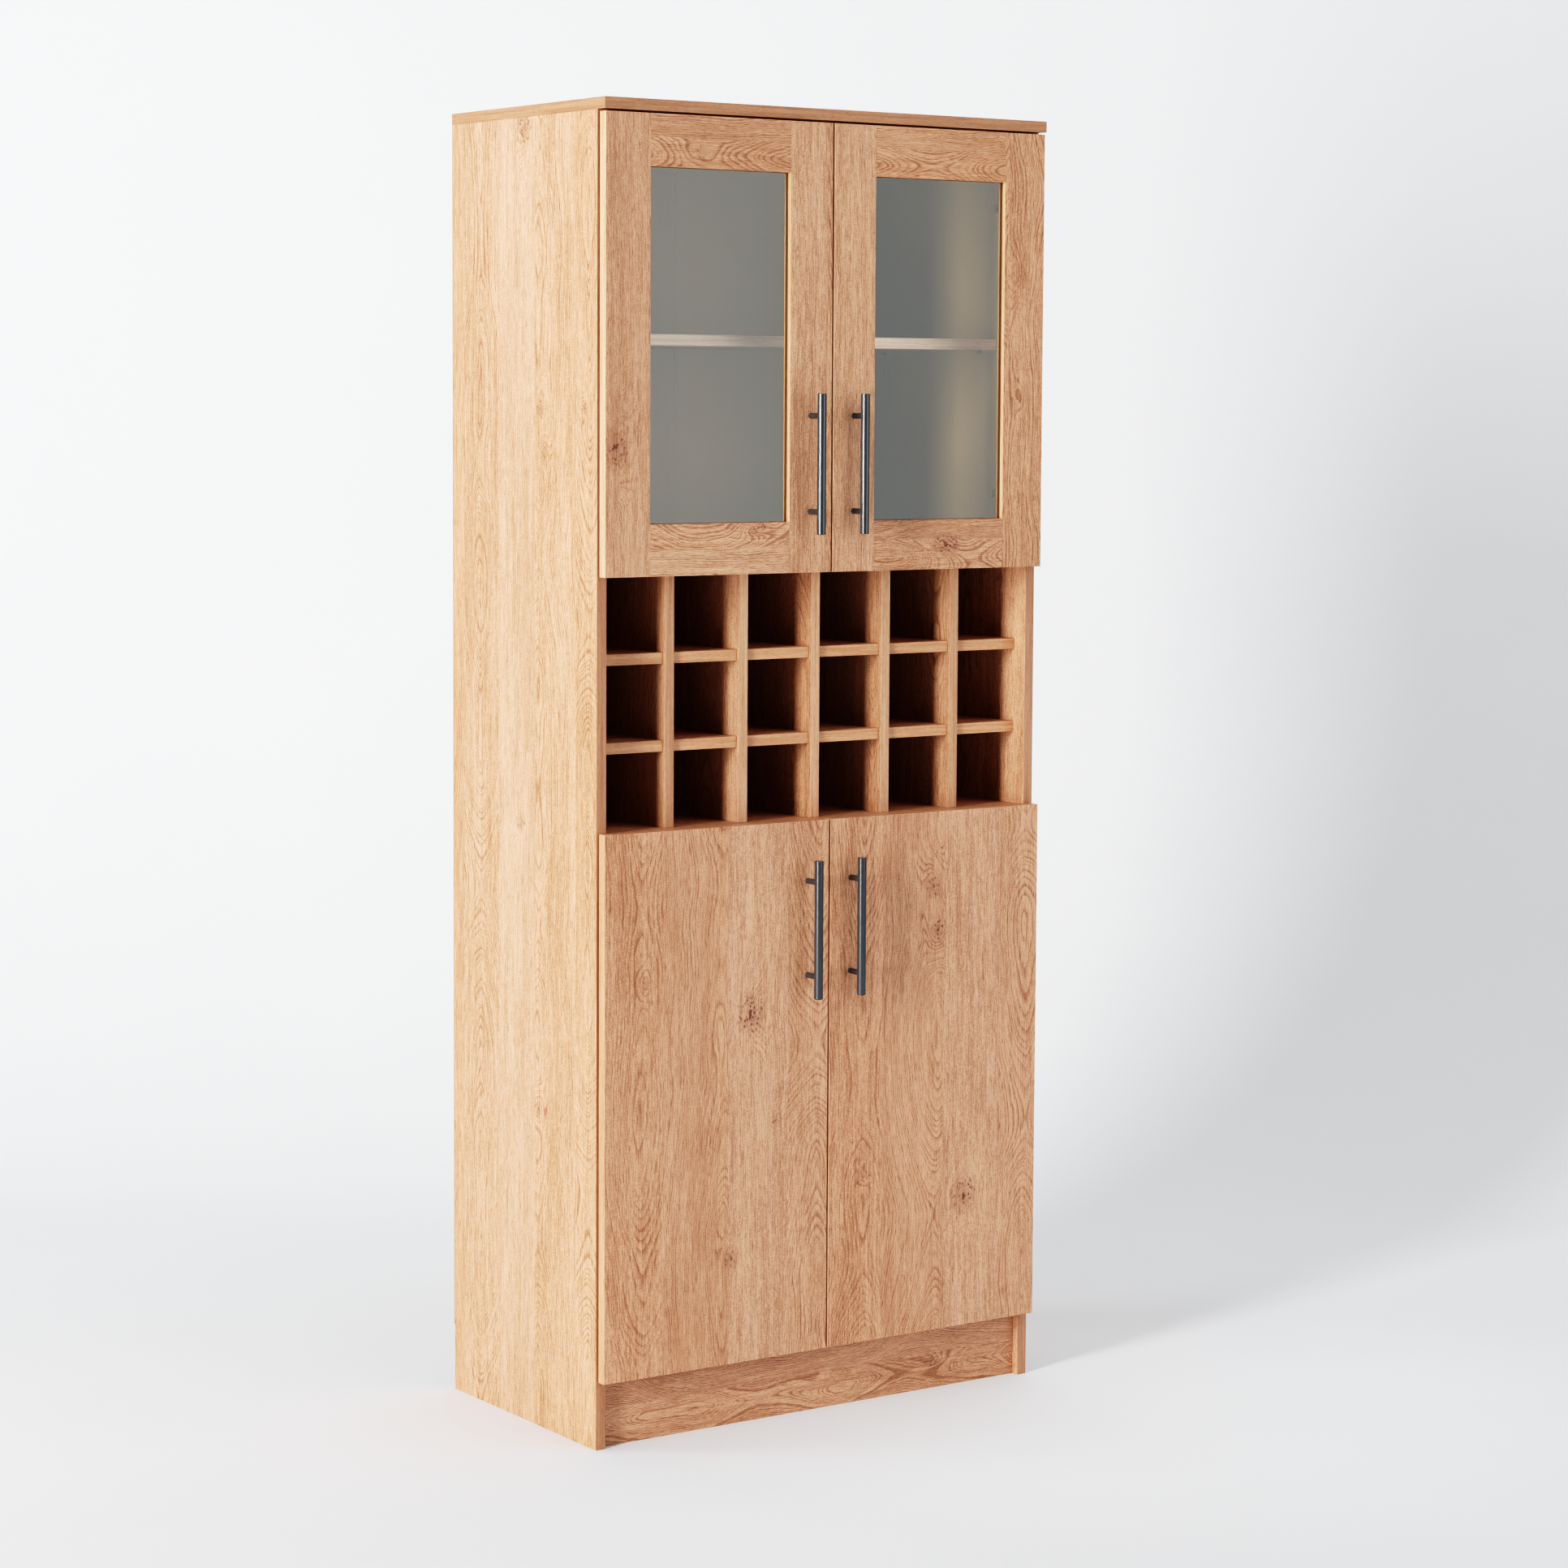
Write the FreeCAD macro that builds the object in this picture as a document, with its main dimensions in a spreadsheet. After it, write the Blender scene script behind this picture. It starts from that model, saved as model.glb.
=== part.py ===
# Bar cabinet: melamine-faced oak-look board carcass, glass doors above, a
# notched bottle rack in the middle and plain doors below.  Millimetres, +Z up,
# the origin is at the centre of the overall footprint on the floor.
# In the notes "front" is -Y; the plane of the side panels' front edges is
# y_sides; x = 0 is the centre line.
import FreeCAD, Part
import os
import math

doc = FreeCAD.newDocument("bar_cabinet")
V = FreeCAD.Vector
ROT_Z = FreeCAD.Rotation()                        # cylinder axis along +Z
ROT_X = FreeCAD.Rotation(V(0, 1, 0), 90)          # cylinder axis along +X
ROT_Y = FreeCAD.Rotation(V(1, 0, 0), -90)         # cylinder axis along +Y

# ------------------------------------------------------------- dimensions
sheet = doc.addObject("Spreadsheet::Sheet", "Dims")
DIMS = [
    # overall
    ("cab_width", 720.0), ("cab_height", 1770.0), ("board", 15.0),
    ("side_depth", 375.0), ("back_thick", 3.0), ("y_sides", -164.5),
    ("top_overhang", 18.0),
    # levels
    ("plinth_height", 92.0), ("plinth_recess", 11.0),
    ("rack_floor_z", 803.0), ("upper_floor_z", 1152.5),
    ("upper_shelf_z", 1455.0), ("lower_shelf_z", 447.5),
    ("shelf_setback", 70.0), ("shelf_rear_gap", 2.0), ("shelf_side_gap", 0.5),
    ("back_inset", 0.5), ("back_seam", 0.5),
    # bottle rack
    ("rack_setback", 20.0), ("rack_shelf_setback", 24.0), ("cell_width", 102.5),
    ("cell_height", 101.5), ("rack_lap", 197.5), ("lap_play", 0.5), ("slot_play", 0.2),
    # doors
    ("door_gap", 2.0), ("door_inset", 2.5), ("door_middle", 1.5),
    ("upper_door_z", 1153.5), ("upper_door_height", 598.5),
    ("lower_door_z", 91.5), ("lower_door_height", 727.5),
    ("frame_width", 68.0), ("groove_width", 5.0), ("groove_depth", 7.0), ("front_lip", 6.5),
    ("tenon_play", 0.1), ("glass_thick", 3.0), ("glass_cover", 6.0),
    ("seal_leg", 1.0), ("seal_show", 0.8), ("seal_bottom", 6.9),
    # handles
    ("handle_x", 35.5), ("handle_from_edge", 145.5), ("bar_dia", 12.0), ("bar_length", 188.0),
    ("bar_chamfer", 0.8), ("post_dia", 8.0), ("post_pitch", 128.0), ("standoff", 26.0),
    ("handle_screw_dia", 4.0), ("handle_screw_grip", 8.0), ("handle_screw_head", 8.0),
    ("handle_screw_head_h", 2.2), ("screw_play", 0.2),
    # concealed hinges (positions measured from the door's outer edge / carcass front plane)
    ("hinge_end", 100.0), ("cup_dia", 34.8), ("cup_bore_dia", 35.0), ("cup_depth", 11.4),
    ("cup_bore_depth", 11.5), ("cup_wall", 1.0), ("cup_centre", 22.5),
    ("flange_thick", 1.2), ("flange_long", 56.0), ("flange_wide", 17.0), ("flange_from", 12.0),
    ("hinge_pin_dia", 2.4), ("cup_pin_u", 9.6), ("cup_pin_y", -4.4), ("cup_pin_half", 11.2),
    ("arm_pin_u", 31.0), ("arm_pin_y", -4.0), ("elbow_u", 19.6), ("elbow_y", -8.5),
    ("link_half_thick", 1.5), ("link_width", 2.6), ("link_eye_a", 5.6), ("link_eye_c", 4.8),
    ("link_hole", 2.8), ("arm_width", 11.0), ("fork_slot", 4.0), ("arm_boss", 6.0),
    ("arm_u", 15.5), ("arm_high", 9.0), ("arm_front", 16.0), ("arm_rear", 64.0),
    ("plate_thick", 3.0), ("plate_front", 20.0), ("plate_rear", 62.0), ("plate_width", 16.0),
    ("wing_front", 30.0), ("wing_rear", 44.0), ("wing_width", 52.0),
    ("plate_screw_pitch", 32.0), ("plate_screw_line", 37.0), ("euro_dia", 5.0),
    ("euro_length", 10.5), ("euro_head", 8.4), ("euro_head_h", 2.0),
    # fittings
    ("dowel_dia", 8.0), ("dowel_short", 10.0), ("dowel_long", 20.0), ("dowel_slack", 0.5),
    ("cam_dia", 14.8), ("cam_bore", 15.0), ("cam_high", 12.0), ("cam_bore_depth", 12.5),
    ("cam_back", 24.0), ("bolt_thread", 6.0), ("bolt_thread_len", 10.0), ("bolt_shank", 5.0),
    ("bolt_bore", 6.4), ("bolt_neck", 3.0), ("cam_mouth", 7.0),
    ("fit_y_cam_front", 50.0), ("fit_y_cam_rear", 325.0), ("fit_y_dowel_front", 90.0),
    ("fit_y_dowel_rear", 285.0),
    ("div_dowel_front", 60.0), ("div_dowel_rear", 300.0),
    ("plinth_cam_z", 60.0), ("plinth_dowel_z", 25.0),
    ("shelf_pin_dia", 5.0), ("shelf_pin_in", 8.0), ("shelf_pin_out", 7.0),
    ("shelf_pin_front", 107.0), ("shelf_pin_rear", 336.0),
    ("back_screw_dia", 3.0), ("back_screw_length", 15.0), ("back_screw_head", 6.0),
    ("back_screw_head_h", 1.2),
    ("bumper_dia", 8.0), ("bumper_thick", 1.8), ("bumper_x", 45.0),
]
for row, (alias, value) in enumerate(DIMS, start=1):
    sheet.set("A%d" % row, alias)
    sheet.set("B%d" % row, str(value))
    sheet.setAlias("B%d" % row, alias)
doc.recompute()
D = dict(DIMS)


def words(expression):
    """Prefix every dimension word in an expression with the sheet's name."""
    out, word = [], ""
    for ch in expression + " ":
        if ch.isalnum() or ch == "_":
            word += ch
        else:
            out.append("Dims." + word if word in D else word)
            word = ""
            out.append(ch)
    return "".join(out).strip()


def place(obj, x, y, z):
    for axis, e in (("x", x), ("y", y), ("z", z)):
        obj.setExpression("Placement.Base." + axis, words(str(e)))


def box(name, x, y, z, dx, dy, dz):
    o = doc.addObject("Part::Box", name)
    o.setExpression("Length", words(str(dx)))
    o.setExpression("Width", words(str(dy)))
    o.setExpression("Height", words(str(dz)))
    place(o, x, y, z)
    return o


def cyl(name, x, y, z, dia, length, rot=ROT_Z):
    o = doc.addObject("Part::Cylinder", name)
    o.Placement = FreeCAD.Placement(V(0, 0, 0), rot)
    o.setExpression("Radius", words("(%s) / 2" % dia))
    o.setExpression("Height", words(str(length)))
    place(o, x, y, z)
    return o


def join(name, items):
    """Separate solids kept together as one piece set."""
    o = doc.addObject("Part::Compound", name)
    o.Links = items
    return o


def fuse(name, items):
    o = doc.addObject("Part::MultiFuse", name)
    o.Shapes = items
    o.Refine = True
    return o


def cut(name, base, tools):
    tool = tools[0] if len(tools) == 1 else join(name + "_holes", tools)
    o = doc.addObject("Part::Cut", name)
    o.Base = base
    o.Tool = tool
    return o


def mirror(name, source):
    o = doc.addObject("Part::Mirroring", name)
    o.Source = source
    o.Base = V(0, 0, 0)
    o.Normal = V(1, 0, 0)
    return o


PIECES = []


def piece(obj, label):
    obj.Label = label
    PIECES.append(obj)
    return obj


# ------------------------------------------------- fittings and their holes
dowels, cams, bolts = [], [], []
holes = {}


def hole(owner, obj):
    holes.setdefault(owner, []).append(obj)


count = [0]


def tag(stem):
    count[0] += 1
    return "%s_%03d" % (stem, count[0])


XL = "cab_width / 2"                      # outer face of the left side is -XL
INNER = "(cab_width / 2 - board)"         # inner face of the left side is -INNER


def dowel_side(board_key, y, z, end="left"):
    """Dowel along X through the left side's inner face into a board's end."""
    sx = "-%s" % INNER
    pair = []
    pair.append(cyl(tag("dowel"), sx + " - dowel_short", y, z, "dowel_dia",
                    "dowel_short + dowel_long", ROT_X))
    hole("side", cyl(tag("hole"), sx + " - dowel_short - dowel_slack", y, z, "dowel_dia",
                     "dowel_short + dowel_slack", ROT_X))
    hl = cyl(tag("hole"), sx, y, z, "dowel_dia", "dowel_long + dowel_slack", ROT_X)
    hr = cyl(tag("hole"), "%s - dowel_long - dowel_slack" % INNER, y, z, "dowel_dia",
             "dowel_long + dowel_slack", ROT_X)
    hole(board_key, hl)
    hole(board_key, hr)
    dowels.append(pair[0])
    dowels.append(cyl(tag("dowel"), "%s - dowel_long" % INNER, y, z, "dowel_dia",
                      "dowel_short + dowel_long", ROT_X))


def cam_side(board_key, y, z, cam_z):
    """Cam and bolt along X; the cam sits in a blind bore in the board's underside."""
    sx = "-%s" % INNER
    for sgn in (-1, 1):
        if sgn < 0:
            bolt_x0 = sx + " - bolt_thread_len"
            cx = sx + " + cam_back"
            thread = cyl(tag("bolt_thread"), bolt_x0, y, z, "bolt_thread", "bolt_thread_len", ROT_X)
            shank = cyl(tag("bolt_shank"), sx, y, z, "bolt_shank", "cam_back - bolt_neck", ROT_X)
            head = cyl(tag("bolt_head"), cx + " - bolt_neck", y, z, "bolt_thread", "bolt_neck", ROT_X)
            hb = cyl(tag("hole"), sx, y, z, "bolt_bore", "cam_back", ROT_X)
            mouth = cyl(tag("mouth"), cx + " - cam_dia / 2 - 1", y, z, "cam_mouth",
                        "cam_dia / 2 + 2", ROT_X)
            hole("side", cyl(tag("hole"), sx + " - bolt_thread_len - dowel_slack", y, z,
                             "bolt_thread", "bolt_thread_len + dowel_slack", ROT_X))
        else:
            cx = "%s - cam_back" % INNER
            thread = cyl(tag("bolt_thread"), INNER, y, z, "bolt_thread", "bolt_thread_len", ROT_X)
            shank = cyl(tag("bolt_shank"), cx + " + bolt_neck", y, z, "bolt_shank",
                        "cam_back - bolt_neck", ROT_X)
            head = cyl(tag("bolt_head"), cx, y, z, "bolt_thread", "bolt_neck", ROT_X)
            hb = cyl(tag("hole"), cx, y, z, "bolt_bore", "cam_back", ROT_X)
            mouth = cyl(tag("mouth"), cx + " - 1", y, z, "cam_mouth", "cam_dia / 2 + 2", ROT_X)
        bolts.append(fuse(tag("bolt"), [thread, shank, head]))
        body = cyl(tag("cam_body"), cx, y, cam_z, "cam_dia", "cam_high")
        cross = [box(tag("drive"), cx + " - 3.5", "(%s) - 0.75" % y, "(%s) - 1" % cam_z, 7, 1.5, 2.5),
                 box(tag("drive"), cx + " - 0.75", "(%s) - 3.5" % y, "(%s) - 1" % cam_z, 1.5, 7, 2.5)]
        cams.append(cut(tag("cam"), body, [mouth] + cross))
        hole(board_key, hb)
        hole(board_key, cyl(tag("hole"), cx, y, cam_z, "cam_bore", "cam_bore_depth"))


def y_at(word):
    return "y_sides + " + word


# fixed boards between the sides
for key, z0 in (("upper_floor", "upper_floor_z"), ("rack_floor", "rack_floor_z"),
                ("bottom", "plinth_height")):
    mid = z0 + " + board / 2"
    for w in ("fit_y_dowel_front", "fit_y_dowel_rear"):
        dowel_side(key, y_at(w), mid)
    for w in ("fit_y_cam_front", "fit_y_cam_rear"):
        cam_side(key, y_at(w), mid, z0)

# rack shelves are doweled into the sides
RACK_TOP = "rack_floor_z + board"
RS_LOW = RACK_TOP + " + cell_height"
RS_UP = RACK_TOP + " + 2 * cell_height + board"
for key, z0 in (("rack_low", RS_LOW), ("rack_up", RS_UP)):
    for w in ("div_dowel_front", "div_dowel_rear"):
        dowel_side(key, y_at(w), z0 + " + board / 2")

# plinth: one dowel and one cam at each end
PY = "y_sides + plinth_recess"
dowel_side("plinth", PY + " + board / 2", "plinth_dowel_z")
sx = "-%s" % INNER
for sgn in (-1, 1):
    y = PY + " + board / 2"
    z = "plinth_cam_z"
    cx = sx + " + cam_back" if sgn < 0 else "%s - cam_back" % INNER
    if sgn < 0:
        parts = [cyl(tag("bolt_thread"), sx + " - bolt_thread_len", y, z, "bolt_thread", "bolt_thread_len", ROT_X),
                 cyl(tag("bolt_shank"), sx, y, z, "bolt_shank", "cam_back - bolt_neck", ROT_X),
                 cyl(tag("bolt_head"), cx + " - bolt_neck", y, z, "bolt_thread", "bolt_neck", ROT_X)]
        hb = cyl(tag("hole"), sx, y, z, "bolt_bore", "cam_back", ROT_X)
        mouth = cyl(tag("mouth"), cx + " - cam_dia / 2 - 1", y, z, "cam_mouth", "cam_dia / 2 + 2", ROT_X)
        hole("side", cyl(tag("hole"), sx + " - bolt_thread_len - dowel_slack", y, z, "bolt_thread",
                         "bolt_thread_len + dowel_slack", ROT_X))
    else:
        parts = [cyl(tag("bolt_thread"), INNER, y, z, "bolt_thread", "bolt_thread_len", ROT_X),
                 cyl(tag("bolt_shank"), cx + " + bolt_neck", y, z, "bolt_shank", "cam_back - bolt_neck", ROT_X),
                 cyl(tag("bolt_head"), cx, y, z, "bolt_thread", "bolt_neck", ROT_X)]
        hb = cyl(tag("hole"), cx, y, z, "bolt_bore", "cam_back", ROT_X)
        mouth = cyl(tag("mouth"), cx + " - 1", y, z, "cam_mouth", "cam_dia / 2 + 2", ROT_X)
    bolts.append(fuse(tag("bolt"), parts))
    face = PY + " + board"
    body = cyl(tag("cam_body"), cx, face + " - cam_high", z, "cam_dia", "cam_high", ROT_Y)
    cross = [box(tag("drive"), cx + " - 3.5", face + " - 1.5", z + " - 0.75", 7, 2.5, 1.5),
             box(tag("drive"), cx + " - 0.75", face + " - 1.5", z + " - 3.5", 1.5, 2.5, 7)]
    cams.append(cut(tag("cam"), body, [mouth] + cross))
    hole("plinth", hb)
    hole("plinth", cyl(tag("hole"), cx, face + " - cam_bore_depth", z, "cam_bore", "cam_bore_depth", ROT_Y))

# top panel onto the sides: vertical dowels and bolts, cams in the sides' inner faces
TOP_Z = "cab_height - board"
for sgn in (-1, 1):
    xm = "-%s + board / 2" % XL if sgn < 0 else "%s - board / 2" % XL
    for w in ("fit_y_dowel_front", "fit_y_dowel_rear"):
        dowels.append(cyl(tag("dowel"), xm, y_at(w), TOP_Z + " - dowel_long", "dowel_dia",
                          "dowel_short + dowel_long"))
        hole("top", cyl(tag("hole"), xm, y_at(w), TOP_Z, "dowel_dia", "dowel_short + dowel_slack"))
        if sgn < 0:
            hole("side", cyl(tag("hole"), xm, y_at(w), TOP_Z + " - dowel_long - dowel_slack",
                             "dowel_dia", "dowel_long + dowel_slack"))
    for w in ("fit_y_cam_front", "fit_y_cam_rear"):
        cz = TOP_Z + " - cam_back"
        parts = [cyl(tag("bolt_thread"), xm, y_at(w), TOP_Z, "bolt_thread", "bolt_thread_len"),
                 cyl(tag("bolt_shank"), xm, y_at(w), cz + " + bolt_neck", "bolt_shank", "cam_back - bolt_neck"),
                 cyl(tag("bolt_head"), xm, y_at(w), cz, "bolt_thread", "bolt_neck")]
        bolts.append(fuse(tag("bolt"), parts))
        hole("top", cyl(tag("hole"), xm, y_at(w), TOP_Z, "bolt_thread", "bolt_thread_len + dowel_slack"))
        x_in = "-%s - cam_high" % INNER if sgn < 0 else INNER
        body = cyl(tag("cam_body"), x_in, y_at(w), cz, "cam_dia", "cam_high", ROT_X)
        mouth = cyl(tag("mouth"), xm, y_at(w), cz + " - 1", "cam_mouth", "cam_dia / 2 + 2")
        xf = "-%s - 1.5" % INNER if sgn < 0 else "%s - 1" % INNER
        cross = [box(tag("drive"), xf, "(%s) - 3.5" % y_at(w), cz + " - 0.75", 2.5, 7, 1.5),
                 box(tag("drive"), xf, "(%s) - 0.75" % y_at(w), cz + " - 3.5", 2.5, 1.5, 7)]
        cams.append(cut(tag("cam"), body, [mouth] + cross))
        if sgn < 0:
            hole("side", cyl(tag("hole"), xm, y_at(w), cz, "bolt_bore", "cam_back"))
            hole("side", cyl(tag("hole"), "-%s - cam_bore_depth" % INNER, y_at(w), cz, "cam_bore",
                             "cam_bore_depth", ROT_X))

# dividers are doweled into the rack floor and the board above
DIV_X = ["-%s + %d * cell_width + %d * board" % (INNER, n, n - 1) for n in range(1, 6)]
for n, dx in enumerate(DIV_X, start=1):
    for w in ("div_dowel_front", "div_dowel_rear"):
        xm = dx + " + board / 2"
        dowels.append(cyl(tag("dowel"), xm, y_at(w), RACK_TOP + " - dowel_short", "dowel_dia",
                          "dowel_short + dowel_long"))
        hole("rack_floor", cyl(tag("hole"), xm, y_at(w), RACK_TOP + " - dowel_short - dowel_slack",
                               "dowel_dia", "dowel_short + dowel_slack"))
        hole("div%d" % n, cyl(tag("hole"), xm, y_at(w), RACK_TOP, "dowel_dia", "dowel_long + dowel_slack"))
        dowels.append(cyl(tag("dowel"), xm, y_at(w), "upper_floor_z - dowel_long", "dowel_dia",
                          "dowel_short + dowel_long"))
        hole("upper_floor", cyl(tag("hole"), xm, y_at(w), "upper_floor_z", "dowel_dia",
                                "dowel_short + dowel_slack"))
        hole("div%d" % n, cyl(tag("hole"), xm, y_at(w), "upper_floor_z - dowel_long - dowel_slack",
                              "dowel_dia", "dowel_long + dowel_slack"))

# shelf pins: four under each loose shelf
pins = []
for z0 in ("upper_shelf_z", "lower_shelf_z"):
    for w in ("shelf_pin_front", "shelf_pin_rear"):
        z = z0 + " - shelf_pin_dia / 2"
        pins.append(cyl(tag("pin"), "-%s - shelf_pin_in" % INNER, y_at(w), z, "shelf_pin_dia",
                        "shelf_pin_in + shelf_pin_out", ROT_X))
        pins.append(cyl(tag("pin"), "%s - shelf_pin_out" % INNER, y_at(w), z, "shelf_pin_dia",
                        "shelf_pin_in + shelf_pin_out", ROT_X))
        hole("side", cyl(tag("hole"), "-%s - shelf_pin_in - dowel_slack" % INNER, y_at(w), z,
                         "shelf_pin_dia", "shelf_pin_in + dowel_slack", ROT_X))

# back panel screws, heads flush with the back
REAR = "y_sides + side_depth"
back_screws = []


def back_screw(x, z, owner, left):
    y1 = REAR + " + back_thick"
    shank = cyl(tag("screw_shank"), x, y1 + " - back_screw_length", z, "back_screw_dia",
                "back_screw_length - back_screw_head_h", ROT_Y)
    head = cyl(tag("screw_head"), x, y1 + " - back_screw_head_h", z, "back_screw_head",
               "back_screw_head_h", ROT_Y)
    back_screws.append(fuse(tag("back_screw"), [shank, head]))
    if left:
        hole("back", cyl(tag("hole"), x, REAR + " - 1", z, "back_screw_dia", "back_thick + 2", ROT_Y))
        hole("back", cyl(tag("hole"), x, y1 + " - back_screw_head_h", z, "back_screw_head",
                         "back_screw_head_h + 1", ROT_Y))
    if owner:
        hole(owner, cyl(tag("hole"), x, y1 + " - back_screw_length - dowel_slack", z,
                        "back_screw_dia", "back_screw_length - back_thick + dowel_slack", ROT_Y))


SIDE_ROWS = ["150", "420", "700", "980", "1260", "1500", "1720"]
for z in SIDE_ROWS:
    back_screw("-%s + board / 2" % XL, z, "side", True)
    back_screw("%s - board / 2" % XL, z, None, False)
for key, z0 in (("upper_floor", "upper_floor_z"), ("rack_floor", "rack_floor_z"),
                ("bottom", "plinth_height")):
    for xx in ("235", "110"):
        back_screw("-" + xx, z0 + " + board / 2", key, True)
        back_screw(xx, z0 + " + board / 2", key, False)

# ---------------------------------------------------- concealed hinge sets
DOOR_BACK = "y_sides - door_gap"
DOOR_FRONT = "y_sides - door_gap - board"
EDGE = "-cab_width / 2 + door_inset"      # left doors' outer edge
HINGES_UP = ["upper_door_z + hinge_end", "upper_door_z + upper_door_height - hinge_end"]
HINGES_LOW = ["lower_door_z + hinge_end", "lower_door_z + lower_door_height - hinge_end"]


def hinge_cup(zc):
    cx = EDGE + " + cup_centre"
    shell = cyl(tag("cup_shell"), cx, DOOR_BACK + " - cup_depth", zc, "cup_dia", "cup_depth", ROT_Y)
    plate = box(tag("cup_flange"), EDGE + " + flange_from", DOOR_BACK, zc + " - flange_long / 2",
                "flange_wide", "flange_thick", "flange_long")
    rim = cyl(tag("cup_rim"), cx, DOOR_BACK, zc, "cup_dia + 4", "flange_thick", ROT_Y)
    trim = box(tag("cup_trim"), EDGE + " - 2", DOOR_BACK, zc + " - 20", "flange_from + 2",
               "flange_thick", 40)
    rim2 = cut(tag("cup_rim_cut"), rim, [trim])
    body = fuse(tag("cup_body"), [shell, plate, rim2])
    well = cyl(tag("cup_well"), cx, DOOR_BACK + " - cup_depth + cup_wall", zc, "cup_dia - 2 * cup_wall",
               "cup_depth + 5", ROT_Y)
    hollow = cut(tag("cup_hollow"), body, [well])
    pin = cyl(tag("cup_pin"), EDGE + " + cup_pin_u", "y_sides + cup_pin_y", zc + " - cup_pin_half",
              "hinge_pin_dia", "2 * cup_pin_half")
    return fuse(tag("cup"), [hollow, pin])


def cup_bore(zc):
    return cyl(tag("hole"), EDGE + " + cup_centre", DOOR_BACK + " - cup_bore_depth", zc,
               "cup_bore_dia", "cup_bore_depth + 1", ROT_Y)


def bar_between(name, u0, y0, u1, y1, zc):
    """Flat strip between two points of the hinge, centred on its line."""
    du, dy = D[u1] - D[u0], D[y1] - D[y0]
    length = math.hypot(du, dy)
    ang = math.degrees(math.atan2(dy, du))
    o = doc.addObject("Part::Box", name)
    o.setExpression("Length", words("sqrt((%s - %s)^2 + (%s - %s)^2)" % (u1, u0, y1, y0)))
    o.setExpression("Width", words("link_width"))
    o.setExpression("Height", words("2 * link_half_thick"))
    o.Placement = FreeCAD.Placement(V(0, 0, 0), FreeCAD.Rotation(V(0, 0, 1), ang))
    ca, sa = math.cos(math.radians(ang)), math.sin(math.radians(ang))
    place(o, "%s + %s + link_width / 2 * %.9f" % (EDGE, u0, sa),
          "y_sides + %s - link_width / 2 * %.9f" % (y0, ca), zc + " - link_half_thick")
    return o


def hinge_link(zc):
    z0 = zc + " - link_half_thick"
    th = "2 * link_half_thick"
    eye_a = cyl(tag("eye"), EDGE + " + arm_pin_u", "y_sides + arm_pin_y", z0, "link_eye_a", th)
    eye_c = cyl(tag("eye"), EDGE + " + cup_pin_u", "y_sides + cup_pin_y", z0, "link_eye_c", th)
    elbow = cyl(tag("elbow"), EDGE + " + elbow_u", "y_sides + elbow_y", z0, "link_width", th)
    s1 = bar_between(tag("strip"), "arm_pin_u", "arm_pin_y", "elbow_u", "elbow_y", zc)
    s2 = bar_between(tag("strip"), "elbow_u", "elbow_y", "cup_pin_u", "cup_pin_y", zc)
    body = fuse(tag("link_body"), [eye_a, eye_c, elbow, s1, s2])
    bores = [cyl(tag("eye_hole"), EDGE + " + arm_pin_u", "y_sides + arm_pin_y", z0 + " - 1",
                 "link_hole", th + " + 2"),
             cyl(tag("eye_hole"), EDGE + " + cup_pin_u", "y_sides + cup_pin_y", z0 + " - 1",
                 "link_hole", th + " + 2")]
    return cut(tag("link"), body, bores)


def hinge_arm(zc):
    zb = zc + " - arm_width / 2"
    body = box(tag("arm_body"), EDGE + " + arm_u", "y_sides + arm_front", zb, "arm_high",
               "arm_rear - arm_front", "arm_width")
    neck = doc.addObject("Part::Wedge", tag("arm_neck"))
    for prop, e in (("Xmin", "arm_pin_u - arm_boss / 2"), ("Xmax", "arm_pin_u + arm_boss / 2"),
                    ("X2min", "arm_u + 1"), ("X2max", "arm_u + arm_high"),
                    ("Ymin", "arm_pin_y"), ("Ymax", "arm_front"),
                    ("Zmin", "-arm_width / 2"), ("Zmax", "arm_width / 2"),
                    ("Z2min", "-arm_width / 2"), ("Z2max", "arm_width / 2")):
        neck.setExpression(prop, words(e))
    place(neck, EDGE, "y_sides", zc)
    boss = cyl(tag("arm_boss"), EDGE + " + arm_pin_u", "y_sides + arm_pin_y", zb, "arm_boss", "arm_width")
    solid = fuse(tag("arm_solid"), [body, neck, boss])
    slot = box(tag("arm_slot"), EDGE + " + arm_u - 5", "y_sides + arm_pin_y - 8", zc + " - fork_slot / 2",
               30, "8 + 7", "fork_slot")
    forked = cut(tag("arm_forked"), solid, [slot])
    pin = cyl(tag("arm_pin"), EDGE + " + arm_pin_u", "y_sides + arm_pin_y", zb, "hinge_pin_dia", "arm_width")
    whole = fuse(tag("arm_whole"), [forked, pin])
    dimple = cyl(tag("arm_dimple"), EDGE + " + arm_u + arm_high - 1.5", "y_sides + 52", zc, 6, 3, ROT_X)
    return cut(tag("arm"), whole, [dimple])


def hinge_plate(zc):
    a = box(tag("plate"), "-%s" % INNER, "y_sides + plate_front", zc + " - plate_width / 2",
            "plate_thick", "plate_rear - plate_front", "plate_width")
    b = box(tag("plate"), "-%s" % INNER, "y_sides + wing_front", zc + " - wing_width / 2",
            "plate_thick", "wing_rear - wing_front", "wing_width")
    s = fuse(tag("plate_solid"), [a, b])
    hs = [cyl(tag("plate_hole"), "-%s - 1" % INNER, "y_sides + plate_screw_line",
              "%s %s plate_screw_pitch / 2" % (zc, sg), "euro_dia + screw_play", "plate_thick + 2", ROT_X)
          for sg in ("-", "+")]
    return cut(tag("hinge_plate"), s, hs)


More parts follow.
